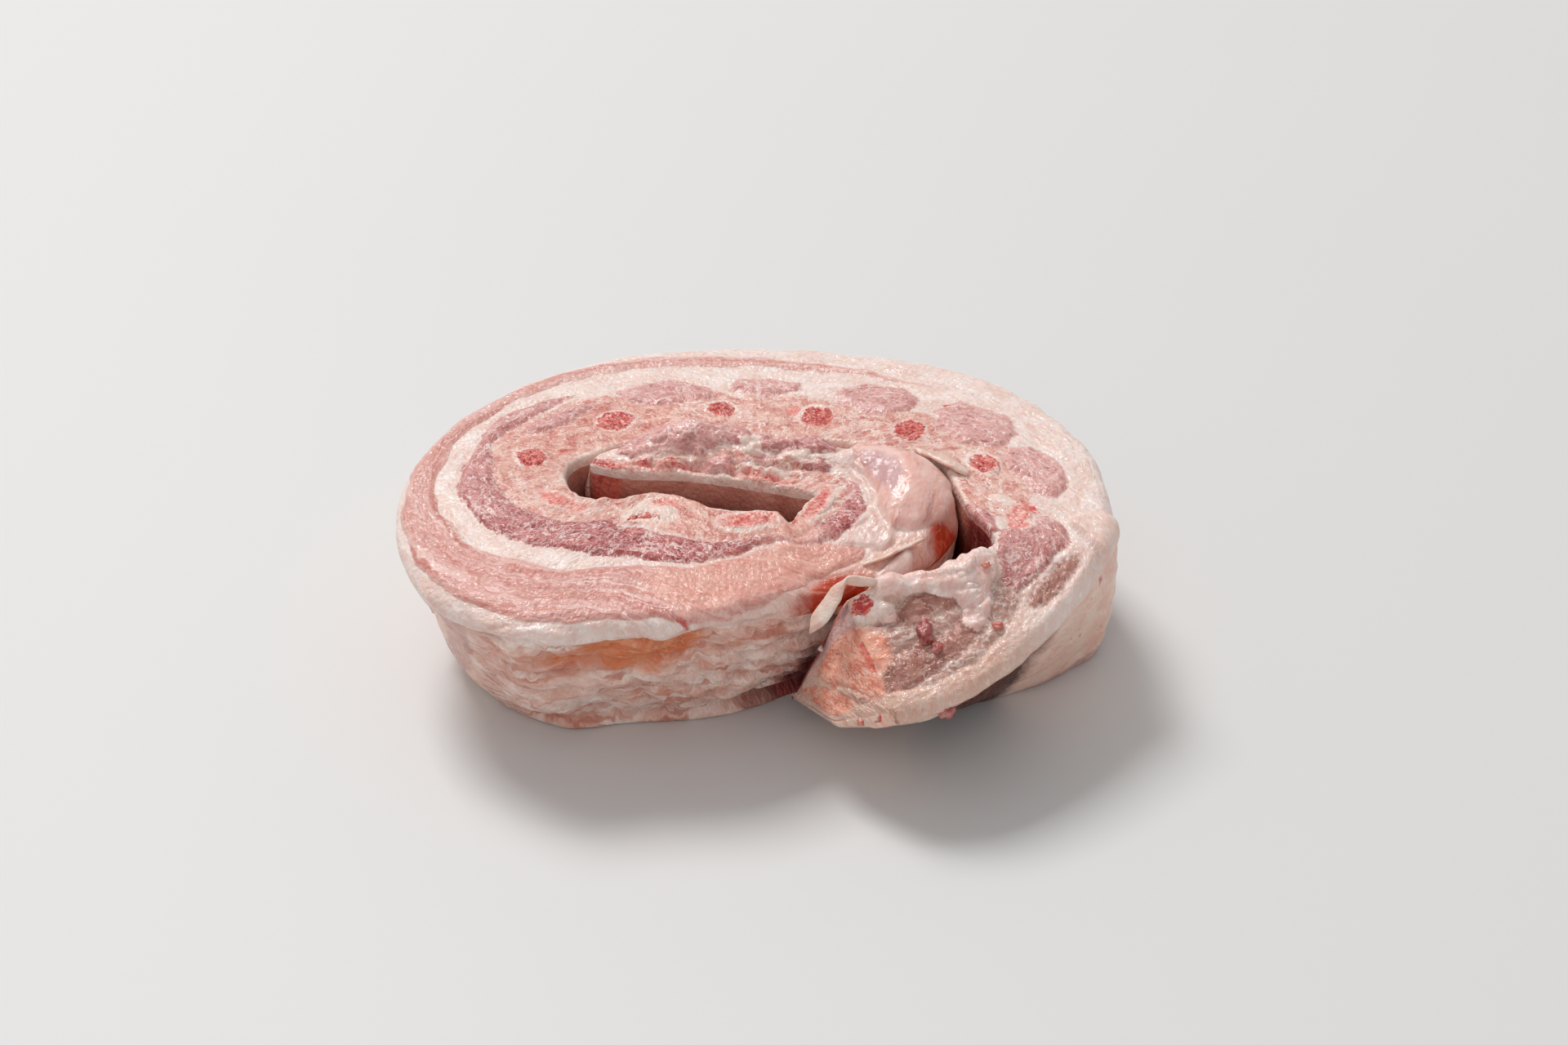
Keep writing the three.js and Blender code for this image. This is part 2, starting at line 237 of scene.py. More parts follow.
# Tissues that lie in patches on the cut face: outlines of (u, v) corners. Here and in the tables of
# spots and patches below, v and w are in hundredths.
outlines = {
    "dark": [
        [(8.45, 42), (8.75, 35), (9.05, 42), (9.12, 55), (8.95, 60), (8.7, 60), (8.5, 52)],
        [(7.86, 50), (8.1, 43), (8.35, 50), (8.3, 60), (8.1, 63), (7.9, 58)],
        [(7.05, 42), (7.3, 33), (7.62, 42), (7.66, 53), (7.5, 63), (7.3, 67), (7.12, 56)],
        [(6.08, 40), (6.3, 28), (6.7, 36), (6.92, 50), (6.85, 66), (6.5, 72), (6.2, 64)],
        [(5.15, 62), (5.3, 48), (5.7, 38), (6.05, 46), (6.05, 62), (5.75, 73), (5.35, 72)],
        [(2.75, 30), (3.1, 10), (3.7, 4), (4.2, 10), (4.5, 30), (4.85, 50), (4.6, 62), (4.2, 66),
         (3.9, 60), (3.3, 57), (2.85, 52)],
        [(9.35, 62), (9.8, 60), (10.25, 58), (10.35, 68), (9.9, 76), (9.6, 72)],
        [(9.3, 46), (9.6, 38), (9.95, 42), (10.1, 52), (9.8, 56), (9.5, 54)],
        [(20.95, 38), (21.3, 36), (21.45, 45), (21.3, 53), (21, 50)],
        [(21.6, 40), (21.9, 33), (22.1, 38), (21.95, 50), (21.75, 52)],
        [(22.1, 15), (22.5, 5), (22.65, 25), (22.3, 40), (22.1, 30)],
        [(22.7, 30), (23.5, 30), (23.9, 45), (24.3, 70), (24.1, 110), (22.1, 110), (22.08, 62),
         (22.55, 42)],
        [(21.3, 62), (21.75, 58), (21.95, 62), (22.12, 110), (21.35, 110), (21.2, 80)],
        [(3.95, -10), (4.1, 10), (4.7, 13), (5.05, 4), (4.95, -10)],
    ],
    "endLean": [
        [(2.85, 70), (3.2, 62), (3.7, 66), (4, 78), (3.6, 86), (3.1, 85)],
        [(0.68, 20), (0.95, 13), (1.25, 12), (1.45, 18), (1.85, 26), (1.75, 33), (1.3, 31), (1.05, 37),
         (0.8, 34)],
        [(-0.25, 66), (0.1, 58), (0.5, 53), (0.85, 48), (1.2, 52), (1.5, 42), (1.9, 40), (2, 52),
         (1.85, 64), (1.4, 70), (0.95, 76), (0.4, 82), (-0.1, 80), (-0.25, 76)],
        [(0.15, 22), (0.8, 20), (0.8, 28), (0.4, 30)],
    ],
    "greyFat": [[(0.22, 28), (0.7, 16), (1.3, 14), (2, 26), (2.8, 30), (2.9, 60), (2.3, 72), (1.6, 80),
        (0.9, 84), (0.3, 82), (0.1, 60)]],
    "endMuscle": [[(-0.2, 25), (0.2, 28), (0.36, 40), (0.3, 55), (0.1, 62), (-0.2, 60)]],
    "redMeat": [
        [(8.75, 2), (9.9, 2), (10.9, 12), (10.9, 40), (10.1, 52), (9.5, 52), (8.75, 42)],
        [(14.2, 3), (15.3, 3), (15.25, 30), (14.3, 31)],
    ],
    "salmon": [
        [(15.8, 22), (16.2, 8), (16.8, -10), (17.6, -10), (17.6, 18), (17, 24), (16.2, 32)],
        [(16.15, 98), (16.4, 90), (16.8, 78), (17, 73), (17.6, 76), (18.05, 78), (18.3, 90), (18.1, 120),
         (16.1, 120)],
        [(14.3, 62), (15, 53), (15.7, 46), (16.4, 39), (16.9, 36), (17.4, 42), (17.6, 60), (17, 72),
         (16.5, 80), (16, 90), (15.4, 93), (14.8, 90), (14.4, 80)],
    ],
    "lobe": [[(18.3, 66), (18.6, 56), (19.2, 49), (20, 46), (20.5, 49), (20.9, 62), (21.15, 85),
        (21.2, 110), (19.2, 110), (18.7, 100), (18.45, 86)]],
    "brown": [
        [(16.3, 99), (16.55, 88), (16.9, 81), (17.2, 83), (17.35, 95), (17.3, 110), (16.2, 110)],
        [(18.3, 98), (18.5, 91), (18.9, 90), (19.2, 95), (19.4, 110), (18.2, 110)],
    ],
    "fascia": [
        [(17.5, 44), (17.9, 41), (18.4, 42), (18.8, 47), (18.6, 52), (18.35, 58), (18.35, 70),
         (18.15, 76), (17.9, 72), (17.75, 60)],
        [(18.8, 46), (19.5, 41), (20.2, 39), (20.7, 46), (21, 60), (21.2, 85), (21, 80), (20.6, 58),
         (20.1, 48), (19.3, 49)],
        [(17.4, 97), (17.8, 86), (18.2, 85), (18.1, 93), (17.9, 110), (17.5, 110)],
    ],
    "film": [[(18.95, 62), (19.4, 54), (20.1, 52), (20.55, 60), (20.85, 76), (20.5, 76), (19.8, 71),
        (19.2, 69)]],
    "whiteFat": [
        [(21.88, 50), (22.1, 52), (22.26, 70), (22.12, 80), (21.98, 66)],
        [(21.35, 50), (21.55, 50), (21.6, 62), (21.4, 66)],
    ],
    "fatLobe": [
        [(0.34, -10), (0.45, 9), (0.8, 13), (1.15, 12), (1.4, 22), (1.7, 27), (1.75, 38), (1.65, 48),
         (1.9, 62), (2.15, 58), (2.35, 45), (2.5, 30), (2.75, 22), (2.8, 10), (2.7, -10)],
        [(0.32, 20), (0.45, 12), (0.62, 16), (0.6, 29), (0.42, 28)],
    ],
    "rimFlap": [[(4.15, 95), (4.35, 80), (4.6, 67), (4.85, 75), (4.95, 90), (4.85, 110), (4.2, 110)]],
}

# Oval spots on the cut face: u, v, half length and half breadth in mm, and turn in degrees.
spots = {
    "bone": [
        (0.24, 13, 3.6, 3.6), (4.7, 33, 8, 3.6, 30), (5.1, 25, 3, 3), (5.82, 25, 7.2, 4.9, 10),
        (6.83, 22, 8.8, 4.8, 38), (7.7, 26, 6.8, 5.8), (8.4, 29, 6.2, 4.8, 12),
        (9.27, 25, 7.6, 5.6, -12), (10.42, 27, 7, 5.4, -10), (11.75, 13, 12, 3.8, -5),
        (13.92, 15, 9, 5.6, -8), (15.5, 12.5, 11, 4.4, -8), (18.9, 10, 22, 3.6), (21.7, 23, 8.5, 1.8),
        (23.25, 18, 9, 2.2),
    ],
    "marrow": [
        (0.18, 12, 2.2, 2.3), (5.8, 25, 5.4, 3.7, 10), (6.83, 22, 8, 4, 38), (7.66, 24, 5.8, 4.8),
        (8.4, 28, 5.2, 3.9, 12), (9.28, 25, 6.6, 4.8, -12), (10.42, 26, 6.8, 4.4, -14),
        (13.85, 21, 4.6, 0.9, -10), (24.6, 14, 5, 1.4),
    ],
    "paleMarrow": [
        (15.5, 12, 9.5, 2.8, -8), (4.66, 31, 7, 2.6, 32), (4.95, 42, 3, 2), (7.88, 29, 2.6, 3),
        (11.75, 13, 11, 3, -5), (14.12, 9, 5, 1.8, -10), (18.9, 9, 21, 2.2), (21.7, 15, 9, 1.2),
        (23.2, 12, 11, 1.4), (12.3, 12, 5, 1.7),
    ],
    "blood": [
        (6.88, 57, 1.6, 0.8), (6.86, 75, 0.6, 0.5), (6.46, 75, 0.5, 0.4), (10.05, 14, 2.2, 1.1),
        (9.08, 10, 1, 0.7), (14.76, 97, 1.2, 0.6), (1.1, 57, 1.3, 0.8), (17.3, 4, 3, 0.5),
        (13.83, 22, 2.5, 0.5, -10), (4.98, 45, 1, 0.8), (0.17, 11, 0.9, 0.8), (13, 7, 1.6, 0.6),
    ],
}

# Patches on the rind side: outlines of (u, w) corners.
rindOutlines = {
    # painted shade: the rind drawn in under the outer end is painted dark red-brown, as deep in shade
    "deepShade": [[(1.1, 110), (3, 110), (2.93, 50), (3, -10), (1.1, -10)]],
    # purple-pink skin; the strip on the left is also painted shade along a groove, the strip at the foot is
    # skin alone
    "skinEdgeAndShade": [
        [(12.15, 100), (12.9, 98), (12.95, 90), (12.5, 86), (12.4, 60), (12.3, 40), (12, 22), (11.5, 12),
         (10.8, 10), (10.8, 25), (11.5, 27), (11.9, 40), (12.1, 60)],
        [(3.3, -10), (3.4, 3), (4.4, 10), (5.4, 12), (6, 5), (6, -10)],
    ],
    "orangeFat": [
        [(13.75, 85), (13.85, 98), (14.95, 98), (15, 88), (14.75, 72), (14.4, 61), (14.05, 68)],
        [(13.3, 77), (13.7, 81), (14, 77), (13.9, 70), (13.5, 69)],
    ],
    # painted shade: the foot of the rind side by the fold, painted dark as though undercut and in shadow
    "paintedUndersideShade": [[(15.2, -10), (15.5, 6), (16.1, 12), (17, 30), (17, -10)]],
    # dark raw red at the foot of the rind side, which is painted shade there as well
    "rawRedAndShade": [
        [(15.9, -10), (16, 30), (16.5, 50), (17, 45), (17.1, -10)],
        [(18.1, -10), (18.1, 50), (19.5, 50), (19.5, -10)],
    ],
    "brown": [[(18, 40), (18.1, 110), (19.4, 110), (19.7, 80), (19.6, 40)]],
    "blood": [
        [(3.95, 90), (4.05, 93), (4.08, 86), (4, 82)],
        [(14.7, 96), (14.9, 97), (14.85, 92), (14.74, 90)],
    ],
}
# Patches on the rib side, which shows in the hollow of the coil.
ribSideOutlines = {
    "rawRedAndShade": [[(3.9, 110), (4.9, 110), (4.8, 20), (4.2, -10), (3.8, 30)]],
    "bloodStain": [[(24, 97), (24.95, 100), (24.95, 10), (24.7, 35), (24.55, 15), (24.3, 50)]],
}
# Patches on the cut end: outlines of (v, w) corners.
endOutlines = {
    "endMuscle": [
        [(16, 110), (55, 110), (80, 98), (78, 78), (60, 62), (40, 42), (18, 42), (13, 65)],
        [(18, 18), (30, 30), (60, 50), (78, 60), (82, 40), (84, 20), (50, 12)],
    ],
    "film": [[(6, 110), (20, 110), (18, 75), (14, 50), (12, 15), (-10, 10), (-10, 100)]],
    "rawRedAndShade": [[(-10, 20), (3, 30), (6, 60), (-10, 70)]],
    "bloodStain": [[(30, 110), (34, 95), (60, 94), (60, 110)]],
    "blood": [[(94, 78), (97, 68), (100, 60), (100, 75)]],
}

belly = {
    "rings": 660,
    "topColumns": 64,
    "rindColumns": 36,
    "footColumns": 8,
    "ribColumns": 20,
    "edgeRadius": 1.4,
    "capRings": 14,
}


def insideOutline(x, y, corners):
    # how far inside a closed outline a place is: its distance from the nearest side, below 0 outside,
    # where a line to the left crosses the sides an odd number of times if the place is inside
    nearest, inside = np.full(x.shape, 99.0), np.zeros(x.shape, bool)
    for (x0, y0), (x1, y1) in zip(corners, corners[1:] + corners[:1]):
        dx, dy = x1 - x0, y1 - y0
        t = np.clip(((x - x0) * dx + (y - y0) * dy) / (dx * dx + dy * dy), 0, 1)
        nearest = np.minimum(nearest, np.hypot(x - x0 - t * dx, y - y0 - t * dy))
        crosses = (y0 > y) != (y1 > y)
        inside ^= crosses & (x < x0 + (y - y0) * dx / (dy if dy else 1e-9))
    return np.where(inside, nearest, -nearest)


def insideOval(x, y, centre, halfLong, halfShort, turn=0):
    # the same for an oval, worked out as though it were a circle of its smaller half size
    angle = math.radians(turn)
    a, b = x - centre[0], y - centre[1]
    a, b = a * math.cos(angle) + b * math.sin(angle), b * math.cos(angle) - a * math.sin(angle)
    return (1 - np.sqrt((a / halfLong) ** 2 + (b / halfShort) ** 2)) * min(halfLong, halfShort)


# A place in the tables above, as mm on the cut face, on a side and on the cut end, each laid flat.
def onTop(u, v):
    return float(lengthAt(u)), float(v / 100 * thicknessAt(u))


def onWall(u, w):
    return float(lengthAt(u)), float(w / 100 * sectionHeight)


def onEnd(v, w):
    return float(v / 100 * thicknessAt(0)), float(w / 100 * sectionHeight)


def deepest(x, y, shapes, flatten):  # how far inside any of some outlines
    best = np.full(x.shape, -9.0)
    for corners in shapes:
        best = np.maximum(best, insideOutline(x, y, [flatten(*corner) for corner in corners]))
    return best


def loopOf(u):
    # one closed loop of (v, w) round the section: up face, rind side, foot and rib side, with each
    # corner a quarter circle of edgeRadius
    rv = (belly["edgeRadius"] / thicknessAt(u))[:, None]
    rw = belly["edgeRadius"] / sectionHeight
    arc = np.radians([22.5, 45, 67.5])
    sine, cosine = np.sin(arc), np.cos(arc)
    across = np.linspace(0, 1, belly["topColumns"])
    down = np.linspace(1, 0, belly["rindColumns"])
    under = np.linspace(1, 0, belly["footColumns"])
    up = np.linspace(0, 1, belly["ribColumns"])
    one = np.ones_like(rv)
    v = [
        rv + (1 - 2 * rv) * across, 1 - rv + rv * sine, one + 0 * down,
        1 - rv + rv * cosine, rv + (1 - 2 * rv) * under, rv - rv * sine, 0 * one + 0 * up,
        rv - rv * cosine,
    ]
    w = [
        one + 0 * across, one * (1 - rw + rw * cosine), one * (rw + (1 - 2 * rw) * down),
        one * (rw - rw * sine), 0 * one + 0 * under, one * (rw - rw * cosine),
        one * (rw + (1 - 2 * rw) * up), one * (1 - rw + rw * sine),
    ]
    return np.concatenate(v, 1), np.concatenate(w, 1)


# How dark the dark lean is along the strip.
deepness = [
    [0, 0.9], [2, 0.85], [2.6, 0.5], [4.6, 0.4], [5.2, 0.12], [7, 0.15], [9, 0.25], [10.5, 0.5],
    [12, 0.9], [13, 1], [15, 1], [16, 0.45], [17, 0.05], [17.6, 0.4], [18, 1], [19, 0.8], [20, 0.4],
    [21, 0.6], [22, 0.4], [23, 0.15], [25, 0.3],
]

# Where the faces of the meat and some tissues begin or end.
limits = {
    "topW": 0.93,
    "patchW": 0.6,  # a patch on the cut face reaches down to here, so that a sunken edge has it too
    "rindV": 0.96,
    "ribV": 0.04,
    "endU": 0.02,
    "warmU": 2.6,  # the fat is warmer near the outer end
    "rimU": 5,  # from here the edge of the rib skin shows as a pale rim
    "innerU": 20.5,  # from here both sides of the strip have rib skin
    "tornU": (12.3, 18.2),
}
warmSlope, tornSlope = 14, 16  # mm of distance inside for a step of u, which sets how soft that edge is
outside = -9.0  # mm, for a place that is nowhere near a tissue


def fieldsAt(u, v, w):
    # how far inside each tissue a place is, in mm; the borders are bent a little by noise
    thick, length = thicknessAt(u), lengthAt(u)
    flat = np.stack([length, v * thick, w * sectionHeight], -1)
    bend = 1.3 * fractalAt(flat, (13, 9, 13), 3, 3)
    x = length + 1.2 * fractalAt(flat, (9, 12, 13), 3, 8)
    y, z = v * thick + bend, w * sectionHeight + bend
    top = w > limits["topW"]
    rindSide, ribSide = (v > limits["rindV"]) & ~top, (v < limits["ribV"]) & ~top
    inner = u > limits["innerU"]
    below = (1 - w) * sectionHeight
    f = {name: np.full(u.shape, outside) for name in tissues if name != "fat"}
    f.update(flat=flat, deep=along(deepness, u))

    def widen(name, where, reach):
        f[name] = np.maximum(f[name], np.where(where, reach, outside))

    for name, (ribEdge, rindEdge) in bands.items():
        reach = np.minimum(y - along(ribEdge, u) * thick, along(rindEdge, u) * thick - y)
        within = (u > rindEdge[0][0]) & (u < rindEdge[-1][0])
        f[name] = np.where(within, reach, outside)
    for name, shapes in outlines.items():
        widen(name, w > limits["patchW"], deepest(x, y, shapes, onTop))
    for name, shapes in spots.items():
        lowest = limits["topW" if name == "blood" else "patchW"]
        for spotU, spotV, *size in shapes:
            widen(name, w > lowest, insideOval(x, v * thick, onTop(spotU, spotV), *size))
    for side, group in ((rindSide, rindOutlines), (ribSide, ribSideOutlines)):
        for name, shapes in group.items():
            widen(name, side, deepest(x, z, shapes, onWall))
    for name, shapes in endOutlines.items():
        widen(name, u < limits["endU"], deepest(y, z, shapes, onEnd))
    tornFrom, tornTo = limits["tornU"]
    torn = rindSide & (u > tornFrom) & (u < tornTo)
    f["warmFat"] = (limits["warmU"] - u) * warmSlope + bend
    f["rind"] = np.where(rindSide, below - 1.0, outside)
    f["tornFat"] = np.where(torn, np.minimum(below - 1.0, (u - tornFrom) * tornSlope), outside)
    f["paleWall"] = np.where(ribSide | (v > limits["rindV"]) & inner, below - 0.6, outside)
    # from 10 mm below the cut face down, the rib skin in the hollow is dark red: partly its own colour,
    # partly painted shade
    f["pleuraAndShade"] = np.where(ribSide | rindSide & inner, below - 10, outside)
    rim = np.where(inner, 0.3, 1.0) - v * thick + 0.5 * bend
    f["pleuraRim"] = np.where(u > limits["rimU"], rim, outside)
    return f


# Relief of the cut face, in mm: how much a tissue swells, and how deep the furrow along its edge is.
swells = {"pale": 0.5, "dark": 0.7, "whiteFat": 0.5, "bone": 0.4, "lobe": 0.5}
furrows = {
    "pale": 0.12, "dark": 0.35, "lobe": 0.4, "brown": 0.4, "fascia": 0.4, "greyFat": 0.4, "endLean": 0.4,
}
furrowReach = 0.8  # mm to each side of the edge

# Stretches of the strip with a relief of their own: the u where it starts, is full, fades and ends.
stretches = {
    "tornInnerEnd": (20.9, 21.5, 24.0, 24.6),
    "rolls": (11.8, 12.6, 17.4, 18),
    "tornFront": (12.4, 13.0, 17.6, 18.4),
    "drawnInLeft": (10.2, 11.2, 12.4, 13.2),
    "drawnInEnd": (1.0, 1.6, 2.8, 3.1),
}
ridge = {"u": 18.75, "reach": 0.5, "height": 3}  # on the rind side, near the fold


def stretchAt(name, u):
    start, full, fade, end = stretches[name]
    return smooth(start, full, u) * smooth(end, fade, u)


def reliefAt(u, v, w, f):
    # how far the skin of the meat stands out from its plain form, in mm; each noise below has a height
    # in front of it, its size along, across and up the strip, also in mm, and last its seed
    flat = f["flat"]
    top = smooth(0.94, 1.0, w)
    rindWall = smooth(0.93, 1.0, v) * (1 - top)
    ribWall = smooth(0.07, 0.0, v) * (1 - top)
    relief = 0.4 * fractalAt(flat, (13, 13, 13), 3, 20)
    # the cut face: fine roughness, lean that swells a little and furrows where two tissues meet
    cut = 0.2 * fractalAt(flat, (3.2, 2.4, 3), 2, 24) + 0.3 * noiseAt(flat, (7, 5, 9), 26)
    for name, height in swells.items():
        cut += height * smooth(-0.6, 2, f[name])
    for name, depth in furrows.items():
        cut -= depth * np.exp(-((f[name] / furrowReach) ** 2))
    marrow = smooth(-0.3, 0.6, np.maximum(f["marrow"], f["paleMarrow"]))
    cut -= 0.3 * marrow * (1 + noiseAt(flat, (1.4, 1.4, 3), 66))
    # lobes and a flap of fat, the smooth lobe of muscle at the fold and the skin round it
    lobed = 1 + 0.5 * noiseAt(flat, (5, 4, 9), 62) - 0.35 * creasesAt(flat, (6, 3.5, 9), 64)
    cut += 1.9 * lobed * smooth(-0.5, 1.3, f["fatLobe"])
    cut += 1.8 * smooth(-0.3, 0.7, f["rimFlap"])
    cut += 2.4 * np.sqrt(np.clip(f["lobe"] / 9, 0, 1)) + 0.8 * smooth(-0.4, 0.6, f["fascia"])
    # the torn inner end, the lumpy outer end, and rolls of fat along the front rim
    torn = stretchAt("tornInnerEnd", u) * (1 - 0.7 * smooth(0.4, 0.6, v) * smooth(22, 22.6, u))
    cut += torn * (1.1 * fractalAt(flat, (6, 5, 9), 3, 28) - 0.9 * creasesAt(flat, (8, 5, 9), 33))
    endPiece = smooth(2.9, 2.0, u) * smooth(0.85, 0.7, v)
    cut += endPiece * (0.4 * fractalAt(flat, (7, 5, 9), 2, 29) - 0.35 * creasesAt(flat, (9, 5, 9), 35))
    rolls = stretchAt("rolls", u) * smooth(0.9, 0.97, v)
    cut += rolls * (0.8 * noiseAt(flat, (8, 2.5, 9), 37) - 0.6 * creasesAt(flat, (12, 2.6, 9), 38))
    relief += top * cut
    # the front of the rind side: fat torn off in folds that run along the strip
    folds = flat + 2.5 * noiseAt(flat, (16, 9, 9), 40)[..., None] * [0, 0, 1]
    front = stretchAt("tornFront", u)
    ragged = -1.9 * creasesAt(folds, (20, 30, 6), 41) - 1.1 * creasesAt(folds, (9, 30, 3.2), 43)
    ragged += 1.3 * noiseAt(folds, (22, 30, 12), 45) + 0.5 * noiseAt(folds, (5, 30, 2.2), 46)
    ragged -= 3 * smooth(0.3, 0.05, w)
    relief += rindWall * front * ragged
    # on the left and under the end piece, the rind is drawn in below the rim
    drawnIn = stretchAt("drawnInLeft", u) + 0.8 * stretchAt("drawnInEnd", u)
    relief -= rindWall * drawnIn * (2.6 * smooth(0.92, 0.78, w) * smooth(0.2, 0.6, w))
    relief += rindWall * (1 - front) * 0.3 * fractalAt(flat, (7, 7, 4), 2, 47)
    onRidge = np.exp(-(((u - ridge["u"]) / ridge["reach"]) ** 2))
    relief += rindWall * ridge["height"] * onRidge * smooth(0.3, 0.75, w)
    relief += ribWall * 0.35 * noiseAt(flat, (9, 9, 30), 49)
    return relief * smooth(-0.02, 0.05, w)


def endRounding(u):  # how far the first and last rings are drawn in, a quarter circle of edgeRadius
    radius = belly["edgeRadius"]
    fromEnd = np.minimum(lengthAt(u), lengthAt(lastStation) - lengthAt(u))
    return radius - np.sqrt(radius**2 - np.clip(radius - fromEnd, 0, radius) ** 2)


def outwardOf(grid):
    # the direction out of the meat: the step round the loop crossed with the step along the strip
    roundLoop = np.roll(grid, -1, axis=1) - np.roll(grid, 1, axis=1)
    normal = np.cross(roundLoop, np.gradient(grid, axis=0))
    return normal / np.maximum(np.linalg.norm(normal, axis=-1, keepdims=True), 1e-9)


def makeCap(u, v, w, rim, sign):
    # an end of the strip: the loop drawn in to its middle in rings, swelling a little on the way
    shrink = (np.linspace(1, 0, belly["capRings"] + 1)[1:-1] ** 0.9)[:, None]
    v, w = 0.5 + (v - 0.5) * shrink, 0.5 + (w - 0.5) * shrink
    u = np.full(v.shape, u)
    f = fieldsAt(u, v, w)
    swell = (1.6 * (1 - shrink**3) + 0.8 * fractalAt(f["flat"], (9, 9, 9), 3, 70)) * (1 - shrink**6)
    swell -= 0.5 * np.exp(-((f["endMuscle"] / 0.8) ** 2)) * (1 - shrink**8)
    place = placeAt(u, v, w)
    out = unit(place - placeAt(u + 0.02 * sign, v, w))
    return place + rim * shrink[..., None] ** 6 + out * swell[..., None], f


def makeBelly():
    spaced = np.linspace(0, midLengths[-1], belly["rings"])
    u = np.interp(spaced, midLengths, stationSamples)
    v, w = loopOf(u)
    u = np.broadcast_to(u[:, None], v.shape)
    f = fieldsAt(u, v, w)
    plain = placeAt(u, v, w)
    grid = plain + outwardOf(plain) * (reliefAt(u, v, w, f) - endRounding(u))[..., None]
    grid[..., 2] = np.maximum(grid[..., 2], 0)
    points, values = [grid], [f]
    index = np.arange(v.size).reshape(v.shape)
    faces = [ringFaces(index)]
    count = v.size
    for end, sign in ((0, 1), (-1, -1)):
        cap, capFields = makeCap(u[end, 0], v[end], w[end], grid[end] - plain[end], sign)
        points += [cap, cap[-1:].mean(1, keepdims=True)]
        values += [capFields, {name: value[-1:, :1] for name, value in capFields.items()}]
        capIndex = count + np.arange(cap[..., 0].size).reshape(-1, v.shape[1])
        capIndex = np.concatenate([index[end][None], capIndex])
        count += cap[..., 0].size
        faces += [ringFaces(capIndex)[:, ::-sign], tipFaces(capIndex[-1], count)[:, ::-sign]]
        count += 1
    joined = {}
    for name, value in f.items():
        joined[name] = np.concatenate([part[name].reshape(-1, *value.shape[2:]) for part in values])
    return np.concatenate([part.reshape(-1, 3) for part in points]), faces, joined


def ringFaces(index):  # quads between each ring of vertices and the next, round and closed
    following = np.roll(index, -1, axis=1)
    return np.stack([index[:-1], following[:-1], following[1:], index[1:]], -1).reshape(-1, 4)


def tipFaces(ring, tip):  # triangles from a last ring to a point
    return np.stack([ring, np.roll(ring, -1), np.full(len(ring), tip)], -1)


def addObject(name, data):
    thing = bpy.data.objects.new(name, data)
    bpy.context.scene.collection.objects.link(thing)
    return thing


def meshFrom(name, points, faces, fields, material):
    mesh = bpy.data.meshes.new(name)
    mesh.from_pydata((points * mm).tolist(), [], [face for part in faces for face in part.tolist()])
    for field, value in fields.items():
        kind, slot = ("FLOAT_VECTOR", "vector") if value.ndim == 2 else ("FLOAT", "value")
        mesh.attributes.new(field, kind, "POINT").data.foreach_set(slot, value.astype(np.float32).ravel())
    mesh.polygons.foreach_set("use_smooth", [True] * len(mesh.polygons))
    mesh.materials.append(material)
    piece = addObject(name, mesh)
    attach(piece, "root")
    return piece


def closedRings(rings):
    # points and faces of a closed skin over rings of points, with a tip at each end; it is turned
    # inside out if its volume, summed over pyramids to the middle, comes out below 0
    count, around = rings.shape[:2]
    index = np.arange(count * around).reshape(count, around)
    points = np.concatenate([rings.reshape(-1, 3), rings[:1].mean(1), rings[-1:].mean(1)])
    first, last = count * around, count * around + 1
    faces = [ringFaces(index), tipFaces(index[0], first)[:, ::-1], tipFaces(index[-1], last)]
    a, b, c, d = (points[faces[0][:, k]] - points.mean(0) for k in range(4))
    if (np.cross(b - a, c - a) * a).sum() + (np.cross(c - a, d - a) * a).sum() < 0:
        faces = [part[:, ::-1] for part in faces]
    return points, faces


def linear(hexColour):  # an sRGB hex colour as linear red, green, blue and an alpha of 1
    values = [int(hexColour[i : i + 2], 16) / 255 for i in (1, 3, 5)]
    return [x / 12.92 if x <= 0.04045 else ((x + 0.055) / 1.055) ** 2.4 for x in values] + [1]


def addNode(tree, kind, inputs=None, **settings):  # one node, with its settings, values and links
    node = tree.nodes.new("ShaderNode" + kind)
    for key, value in settings.items():
        setattr(node, key, value)
    for key, value in (inputs or {}).items():
        if isinstance(value, bpy.types.NodeSocket):
            tree.links.new(value, node.inputs[key])
        else:
            node.inputs[key].default_value = value
    return node


def noiseNode(tree, place, scale, **levels):
    return addNode(tree, "TexNoise", {"Vector": place, "Scale": scale, **levels}).outputs["Fac"]


def mathNode(tree, operation, *values):
    return addNode(tree, "Math", dict(enumerate(values)), operation=operation).outputs[0]


def rangeNode(tree, value, low, high, least=0, most=1, **settings):  # turns low to high into least to most
    ends = {0: value, 1: low, 2: high, 3: least, 4: most}
    return addNode(tree, "MapRange", ends, **settings).outputs[0]


def mixNode(tree, amount, first, second):
    return addNode(tree, "Mix", {0: amount, 6: first, 7: second}, data_type="RGBA").outputs[2]


def coverWith(tree, settings):  # the shader that a material ends in
    shader = addNode(tree, "BsdfPrincipled", settings)
    addNode(tree, "OutputMaterial", {"Surface": shader.outputs[0]})


def coverWithMeat(tree, height, strength, depth, settings):  # wet, bumpy, and light goes into it
    bump = {"Height": height, "Strength": strength, "Distance": depth}
    bump = addNode(tree, "Bump", bump).outputs[0]
    shared = {"Subsurface Weight": 0.35, "Subsurface Scale": 0.002, "Normal": bump, "Coat Normal": bump}
    coverWith(tree, shared | settings)


def newMaterial(name):
    material = bpy.data.materials.new(name)
    material.use_nodes = True
    material.node_tree.nodes.clear()
    return material, material.node_tree


